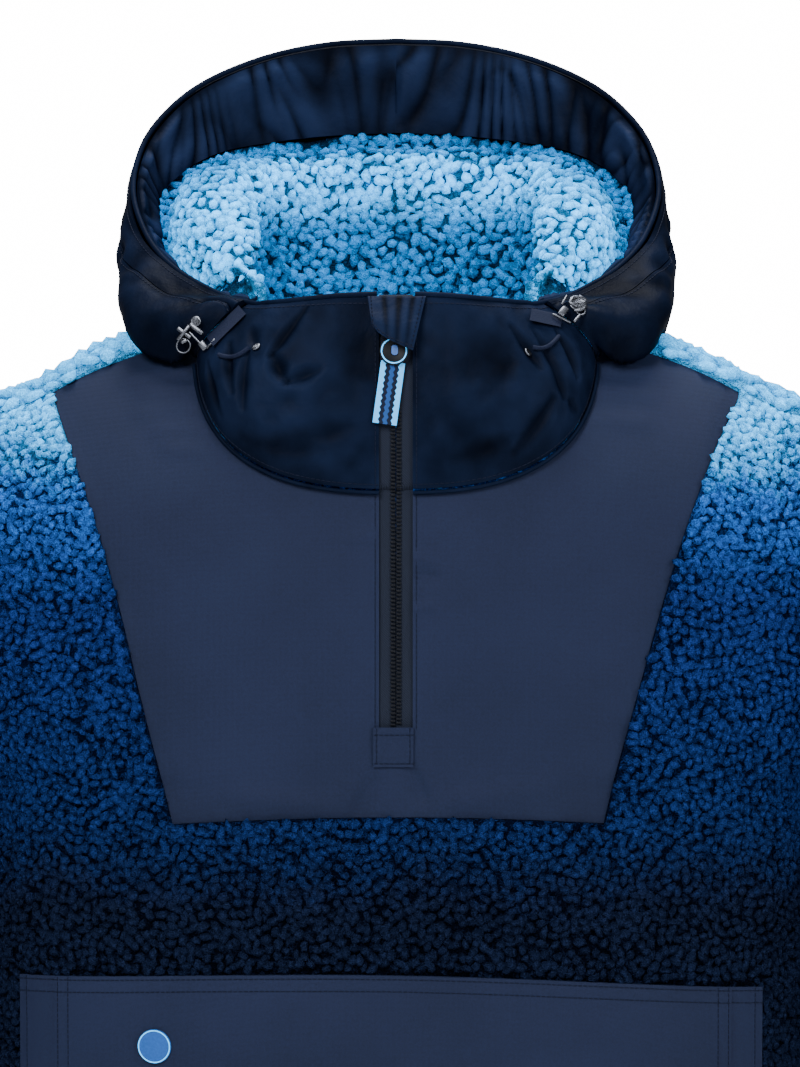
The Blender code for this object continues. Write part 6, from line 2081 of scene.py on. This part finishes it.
def add_adjusters(metal, webbing):
    """On each side of the hood: a webbing tab, an adjuster with its crimp, an elastic cord and an eyelet."""
    for word, tab, cord in ADJUSTERS:
        collar = "padded_collar_" + word
        tree = tree_of(collar, "padded_hood_side_" + word, "padded_hood_band_" + word)
        add_tab("webbing_tab_" + word, tree, tab, webbing, "tab_" + word)
        add_buckle("ladder_" + word, "adjuster_" + word, word, metal)
        middle = middle_and_size("eyelet_" + word)[0]
        look = (metal, "gunmetal", GARMENT, ("eyelet_" + word,))
        add_ring("eyelet_ring_" + word, 0.0021, 0.0007, 32, middle, nearest_out(collar, middle), *look)
        (start_x, start_z), (end_x, end_z) = cord
        path = []
        for share in np.linspace(0.0, 1.0, 17):
            sag = -0.0030 * math.sin(math.pi * share)
            x, z = start_x + (end_x - start_x) * share, start_z + (end_z - start_z) * share + sag
            path.append((x, depth_at(tree, x, z) - 0.0025, z))
        path = np.array(path)
        for _ in range(3):
            path[1:-1, 1] = (path[:-2, 1] + path[2:, 1]) / 2
        tube("elastic_" + word, path, 0.0013, webbing, "adjuster_cord_" + word)


def depth_at(tree, x, z):
    """The y of the tree's surfaces that the viewer, looking along +Y, meets first at (x, z)."""
    return tree.ray_cast(Vector((x, -1.0, z)), Vector((0.0, 1.0, 0.0)))[0].y


def add_tab(name, tree, ends, finish, replaced):
    """A flat strip of webbing laid on the surface from one point to another."""
    start, end = np.array(ends[0]), np.array(ends[1])
    along = end - start
    across = np.array([along[1], -along[0]]) / np.linalg.norm(along) * 0.00325
    shares, places = np.meshgrid(np.linspace(0.0, 1.0, 12), np.linspace(-1.0, 1.0, 7), indexing="ij")
    spots = start + shares[..., None] * along + places[..., None] * across
    depth = np.array([depth_at(tree, *spot) for spot in spots.reshape(-1, 2)]).reshape(shares.shape)
    terms = np.stack([np.ones_like(shares), shares, places, shares**2, shares * places], axis=-1)
    met = depth < BEHIND
    bend = np.linalg.lstsq(terms[met], depth[met], rcond=None)[0]
    lie = terms @ bend
    lie -= max((lie - depth)[met].max(), 0.0) + 0.0006
    hidden = np.stack([spots[..., 0], lie, spots[..., 1]], axis=-1)
    shown = hidden - np.array([0.0, 0.0016, 0.0])
    add_sheet(name, (shown, hidden), shown, "stretched", finish, "webbing", replaced)


def add_buckle(name, node, word, metal):
    """A ladder adjuster: the frame's round bars with its lip, the cross-shaped crimp, and its small rings."""
    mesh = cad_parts[node].data
    points = np.array([vertex.co for vertex in mesh.vertices])
    centre = (points.min(axis=0) + points.max(axis=0)) / 2
    facing = np.array(max(mesh.polygons, key=lambda face: face.area * (face.normal.y < 0)).normal)
    bm = bmesh.new()
    for ring in FITTING_RINGS[word]:
        hooped = bmesh.new()
        bmesh.ops.create_circle(hooped, segments=24, radius=ring["radius"])
        hoop(hooped, ring["thick"])
        bmesh.ops.translate(hooped, verts=hooped.verts, vec=(ring["x"], ring["z"], ring["proud"]))
        shape = bpy.data.meshes.new("ring")
        hooped.to_mesh(shape)
        hooped.free()
        bm.from_mesh(shape)
        bpy.data.meshes.remove(shape)
    for bar in FITTING_BARS[word]:
        start = Vector((bar["x"], bar["z"], bar["proud"]))
        end = Vector((bar["to_x"], bar["to_z"], bar["proud"]))
        size = Matrix.Diagonal(((end - start).length, bar["wide"], min(bar["wide"], 0.0022), 1.0))
        turn = Matrix.Rotation(math.atan2(end.y - start.y, end.x - start.x), 4, "Z")
        made = bmesh.ops.create_cube(bm, size=1.0, matrix=Matrix.Translation((start + end) / 2) @ turn @ size)
        rims = list({edge for vert in made["verts"] for edge in vert.link_edges})
        rounded(bm, rims, min(bar["wide"] * 0.36, 0.0008), 3)
    seat(bm, centre, facing)
    add_piece(name, bm, metal, replaced=(node,))


# Settings


def colour_property(name, description, colour):
    return bpy.props.FloatVectorProperty(
        name=name, description=description, subtype="COLOR", size=4, min=0.0, max=1.0, default=(*colour, 1.0)
    )


def length_property(name, description, metres, precision=4):
    return bpy.props.FloatProperty(
        name=name, description=description, default=metres, unit="LENGTH", precision=precision
    )


def number_property(name, description, value):
    return bpy.props.FloatProperty(name=name, description=description, default=value)


class PileSettings(bpy.types.PropertyGroup):
    """The pile fleece and the hood's pile lining."""

    curl_size: length_property("Curl Size", "Width of one curl of the pile", 0.0066)
    curl_pitch: length_property("Curl Pitch", "The least distance from one curl to the next", 0.0043)
    curl_share: number_property("Curl Share", "Half width of a single curl as a share of the pitch", 0.95)
    pile_height: length_property("Pile Height", "How far the curls stand out", 0.0026)
    grid_step: length_property("Mesh Step", "Size of the fleece's mesh faces", 0.0045)
    light: colour_property("Shoulder", "Colour at the shoulders", (0.045, 0.460, 1.000))
    upper: colour_property("Chest", "Colour of the upper chest", (0.016, 0.105, 0.420))
    middle: colour_property("Middle", "Colour beside the yoke", (0.0095, 0.0300, 0.150))
    lower: colour_property("Below the Yoke", "Colour below the yoke", (0.0080, 0.0250, 0.115))
    foot: colour_property("Foot", "Colour from the pocket down", (0.0058, 0.0112, 0.034))
    # Gaps is the painted shade between the curls below the shoulders
    gap: colour_property("Gaps", "Colour between the chest's curls", (0.0015, 0.0080, 0.045))
    lining: colour_property("Lining", "Colour of the hood's lining", (0.026, 0.430, 1.000))
    # Deep Lining is the lining's colour under painted shade, inside the neck and in the trough
    lining_deep: colour_property("Deep Lining", "Colour of the lining inside the neck", (0.005, 0.150, 0.430))


class ClothSettings(bpy.types.PropertyGroup):
    """The woven and padded cloth, its creases and its stitches."""

    woven: colour_property("Woven Cloth", "Colour of the yoke and pocket", (0.0056, 0.0086, 0.0225))
    padded: colour_property("Padded Cloth", "Colour of the collar and hood", (0.0020, 0.0038, 0.0108))
    thread_width: length_property("Weave", "Width of one thread of the woven cloth", 0.0007)
    crease_depth: number_property("Crease Depth", "Depth of the collar's creases, as a share", 1.0)
    gather_depth: length_property("Gather Depth", "Height of the hood facing's gathers", 0.0048)
    stitch_pitch: length_property("Stitch Pitch", "From one stitch to the next", 0.0031)
    stitch_length: length_property("Stitch Length", "Length of one stitch", 0.0022)
    stitch_thickness: length_property("Thread", "Thickness of the sewing thread", 0.0006)


class TrimSettings(bpy.types.PropertyGroup):
    """The zip, the round pull and the ribbon."""

    tooth_pitch: length_property("Tooth Pitch", "From one zip tooth to the next", 0.00225, 5)
    ribbon_edge: colour_property("Ribbon Edge", "Colour of the ribbon's edges", (0.07, 0.46, 1.0))
    ribbon_middle: colour_property("Ribbon Middle", "Colour of the ribbon's middle", (0.012, 0.055, 0.200))


class StageSettings(bpy.types.PropertyGroup):
    """The floor, the lights and the camera's distance."""

    floor: colour_property("Floor", "Colour of the floor", (0.90, 0.90, 0.90))
    sky: number_property("Sky", "Light that the surroundings give", 0.32)
    backdrop: number_property("Backdrop", "Brightness of the white behind", 16.0)
    key: number_property("Key Light", "Power of the main light", 140.0)
    distance: bpy.props.FloatProperty(
        name="Camera Distance", description="From the camera to its target", default=3.5, unit="LENGTH"
    )


# Operators


def finish_of(name, make, *values):
    """The named material, made once."""
    return bpy.data.materials.get(name) or make(*values)


def plain(name, *values):
    """The named material of one colour, made once."""
    return finish_of(name, plain_finish, name, *values)


def woven(settings):
    """The yoke's and the pocket's cloth."""
    return finish_of("woven_cloth", woven_finish, "woven_cloth", settings.woven, settings.thread_width)


def padded(settings):
    """The collar's and the hood's cloth."""
    return finish_of("padded_cloth", padded_finish, settings)


def thread(settings):
    """The sewing thread, darker than the woven cloth."""
    return plain("sewing_thread", dimmed(settings.woven, 0.50), 0.75, 900.0, 0.00006, 0.05)


def light_rubber(trim):
    """The rubber of the pull's ring and the badge's rim."""
    return plain("light_rubber", trim.ribbon_edge, 0.55, 600.0, 0.00004, 0.05)


def metal():
    """The metal of the slider, the adjusters and the eyelets."""
    return finish_of("gunmetal_plate", metal_finish)


class PULLOVER_OT_fleece(bpy.types.Operator):
    """Makes the pile fleece front, back and sleeves"""

    bl_idname = "pullover.fleece"
    bl_label = "Pile Fleece"

    def execute(self, context):
        settings = context.scene.pullover_pile
        add_fleece(settings, finish_of("pile_fleece", fleece_finish, settings))
        return {"FINISHED"}


class PULLOVER_OT_lining(bpy.types.Operator):
    """Makes the light pile lining of the hood and collar"""

    bl_idname = "pullover.lining"
    bl_label = "Pile Lining"

    def execute(self, context):
        settings = context.scene.pullover_pile
        add_lining(settings, finish_of("pile_lining", lining_finish, settings))
        return {"FINISHED"}


class PULLOVER_OT_yoke(bpy.types.Operator):
    """Makes the woven yoke with its ripples and stitches"""

    bl_idname = "pullover.yoke"
    bl_label = "Yoke"

    def execute(self, context):
        settings = context.scene.pullover_cloth
        add_yoke(settings, woven(settings), thread(settings))
        return {"FINISHED"}


class PULLOVER_OT_pocket(bpy.types.Operator):
    """Makes the pocket, its stitches and its plain badge"""

    bl_idname = "pullover.pocket"
    bl_label = "Pocket"

    def execute(self, context):
        settings = context.scene.pullover_cloth
        badge = plain("rubber_badge", (0.010, 0.050, 0.190), 0.55, 700.0, 0.00008, 0.08)
        rim = light_rubber(context.scene.pullover_trim)
        add_pocket(settings, woven(settings), thread(settings), badge, rim)
        return {"FINISHED"}


class PULLOVER_OT_collar(bpy.types.Operator):
    """Makes the padded stand collar with its creases"""

    bl_idname = "pullover.collar"
    bl_label = "Collar"

    def execute(self, context):
        settings = context.scene.pullover_cloth
        add_collar(settings, padded(settings), thread(settings))
        return {"FINISHED"}


class PULLOVER_OT_hood(bpy.types.Operator):
    """Makes the hood's shell, its rim bands and its gathered facing"""

    bl_idname = "pullover.hood"
    bl_label = "Hood"

    def execute(self, context):
        settings = context.scene.pullover_cloth
        add_hood(settings, padded(settings), thread(settings))
        add_facing(settings, padded(settings))
        return {"FINISHED"}


class PULLOVER_OT_piping(bpy.types.Operator):
    """Makes the piping of the hood's rim and of the neck seam"""

    bl_idname = "pullover.piping"
    bl_label = "Piping"

    def execute(self, context):
        add_piping(padded(context.scene.pullover_cloth))
        return {"FINISHED"}


class PULLOVER_OT_zip(bpy.types.Operator):
    """Makes the zip, its end patch, its slider and the flap over its top"""

    bl_idname = "pullover.zip"
    bl_label = "Zip"

    def execute(self, context):
        settings = context.scene.pullover_cloth
        tape = finish_of("zip_tape_cloth", tape_finish)
        teeth = plain("zip_teeth", (0.0030, 0.0036, 0.0055), 0.45, 900.0, 0.00003, 0.06)
        add_zip(context.scene.pullover_trim, settings, tape, woven(settings), teeth, thread(settings))
        add_flap(settings, padded(settings), thread(settings))
        add_slider(metal())
        return {"FINISHED"}


class PULLOVER_OT_pull(bpy.types.Operator):
    """Makes the round pull and its striped ribbon"""

    bl_idname = "pullover.pull"
    bl_label = "Round Pull"

    def execute(self, context):
        settings = context.scene.pullover_trim
        rubber = plain("dark_rubber", (0.0040, 0.0045, 0.0060), 0.50, 600.0, 0.00005, 0.06)
        bail = plain("blue_rubber", dimmed(settings.ribbon_middle, 0.9), 0.40, 600.0, 0.00004)
        add_pull(rubber, light_rubber(settings), bail)
        add_ribbon(finish_of("striped_ribbon", ribbon_finish, settings))
        return {"FINISHED"}


class PULLOVER_OT_adjusters(bpy.types.Operator):
    """Makes the hood's two adjusters with their webbing, cords and eyelets"""

    bl_idname = "pullover.adjusters"
    bl_label = "Adjusters"

    def execute(self, context):
        webbing = plain("webbing_cloth", (0.0035, 0.0055, 0.0150), 0.80, 1200.0, 0.0003, 0.05)
        add_adjusters(metal(), webbing)
        return {"FINISHED"}


FLOOR_SIZE = 4.0
FLOOR_DROP = 0.012  # from the garment's lowest point


class PULLOVER_OT_stage(bpy.types.Operator):
    """Makes the pale floor, the soft lights and the camera"""

    bl_idname = "pullover.stage"
    bl_label = "Stage"

    def execute(self, context):
        settings = context.scene.pullover_stage
        bm = bmesh.new()
        bmesh.ops.create_grid(bm, x_segments=1, y_segments=1, size=FLOOR_SIZE)
        bmesh.ops.translate(bm, verts=bm.verts, vec=(0.0, 0.0, CAD_BOX[0][2] - FLOOR_DROP))
        mesh = bpy.data.meshes.new("floor")
        bm.to_mesh(mesh)
        bm.free()
        mesh.materials.append(plain_finish("pale_floor", settings.floor, 0.8, 30.0, 0.0002))
        floor = bpy.data.objects.new("floor", mesh)
        context.scene.collection.objects.link(floor)
        context.scene.world = white_studio(settings)
        for name, place, size, share in (
            ("key_light", (-0.9, -1.9, 1.5), 1.1, 1.0),
            ("fill_light", (1.5, -1.6, 0.7), 1.4, 0.45),
            ("top_light", (0.1, 0.5, 1.8), 1.2, 0.9),
        ):
            add_light(context, name, place, size, settings.key * share)
        add_camera(context, settings.distance)
        return {"FINISHED"}


def white_studio(settings):
    """Surroundings that show white behind the garment, and give it a softer light."""
    world = bpy.data.worlds.new("white_studio")
    world.use_nodes = True
    tree = world.node_tree
    paths = tree.nodes.new("ShaderNodeLightPath")
    strength = tree.nodes.new("ShaderNodeMapRange")
    tree.links.new(paths.outputs["Is Camera Ray"], strength.inputs["Value"])
    strength.inputs["To Min"].default_value = settings.sky
    strength.inputs["To Max"].default_value = settings.backdrop
    background = tree.nodes["Background"]
    background.inputs["Color"].default_value = (1.0, 1.0, 1.0, 1.0)
    tree.links.new(strength.outputs[0], background.inputs["Strength"])
    return world


def add_light(context, name, place, size, power):
    """A soft square light that faces the garment's neck."""
    light = bpy.data.lights.new(name, "AREA")
    light.size = size
    light.energy = power
    made = bpy.data.objects.new(name, light)
    made.location = place
    made.rotation_euler = (Vector((0.0, 0.0, -0.1)) - Vector(place)).to_track_quat("-Z", "Y").to_euler()
    context.scene.collection.objects.link(made)


CAMERA_TILT = math.radians(5.0)
CAMERA_SIDE = 0.0024
CAMERA_RISE = -0.1131
FRAME_WIDTH = 0.480  # how much of the scene the picture's width shows
SENSOR_WIDTH = 36.0  # millimetres


def add_camera(context, distance):
    """A long lens in front of the neck, a little above it."""
    ahead = Vector((0.0, math.cos(CAMERA_TILT), -math.sin(CAMERA_TILT)))
    above = Vector((0.0, math.sin(CAMERA_TILT), math.cos(CAMERA_TILT)))
    target = Vector((CAMERA_SIDE, 0.0, 0.0)) + above * CAMERA_RISE
    camera = bpy.data.cameras.new("camera")
    camera.sensor_fit = "HORIZONTAL"
    camera.sensor_width = SENSOR_WIDTH
    camera.lens = SENSOR_WIDTH * distance / FRAME_WIDTH
    made = bpy.data.objects.new("camera", camera)
    made.location = target - ahead * distance
    made.rotation_euler = ahead.to_track_quat("-Z", "Y").to_euler()
    context.scene.collection.objects.link(made)
    context.scene.camera = made


class PULLOVER_PT_panel(bpy.types.Panel):
    """The pullover's settings, and a button for each group of pieces"""

    bl_idname = "PULLOVER_PT_panel"
    bl_label = "Fleece Pullover"
    bl_space_type = "VIEW_3D"
    bl_region_type = "UI"
    bl_category = "Pullover"

    def draw(self, context):
        for group in SETTINGS:
            box = self.layout.box()
            box.label(text=group.replace("pullover_", "").capitalize())
            settings = getattr(context.scene, group)
            for name in type(settings).__annotations__:
                box.prop(settings, name)
        for operator in OPERATORS:
            self.layout.operator(operator.bl_idname)


SETTINGS = {
    "pullover_pile": PileSettings,
    "pullover_cloth": ClothSettings,
    "pullover_trim": TrimSettings,
    "pullover_stage": StageSettings,
}
OPERATORS = (
    PULLOVER_OT_stage,
    PULLOVER_OT_fleece,
    PULLOVER_OT_yoke,
    PULLOVER_OT_pocket,
    PULLOVER_OT_collar,
    PULLOVER_OT_hood,
    PULLOVER_OT_lining,
    PULLOVER_OT_piping,
    PULLOVER_OT_zip,
    PULLOVER_OT_pull,
    PULLOVER_OT_adjusters,
)


def register():
    for group in (*SETTINGS.values(), *OPERATORS, PULLOVER_PT_panel):
        bpy.utils.register_class(group)
    for name, group in SETTINGS.items():
        setattr(bpy.types.Scene, name, bpy.props.PointerProperty(type=group))


def unregister():
    for name in SETTINGS:
        delattr(bpy.types.Scene, name)
    for group in (PULLOVER_PT_panel, *reversed(OPERATORS), *SETTINGS.values()):
        bpy.utils.unregister_class(group)


def main():
    register()
    for operator in OPERATORS:
        group, name = operator.bl_idname.split(".")
        getattr(getattr(bpy.ops, group), name)()


if __name__ == "__main__":
    main()
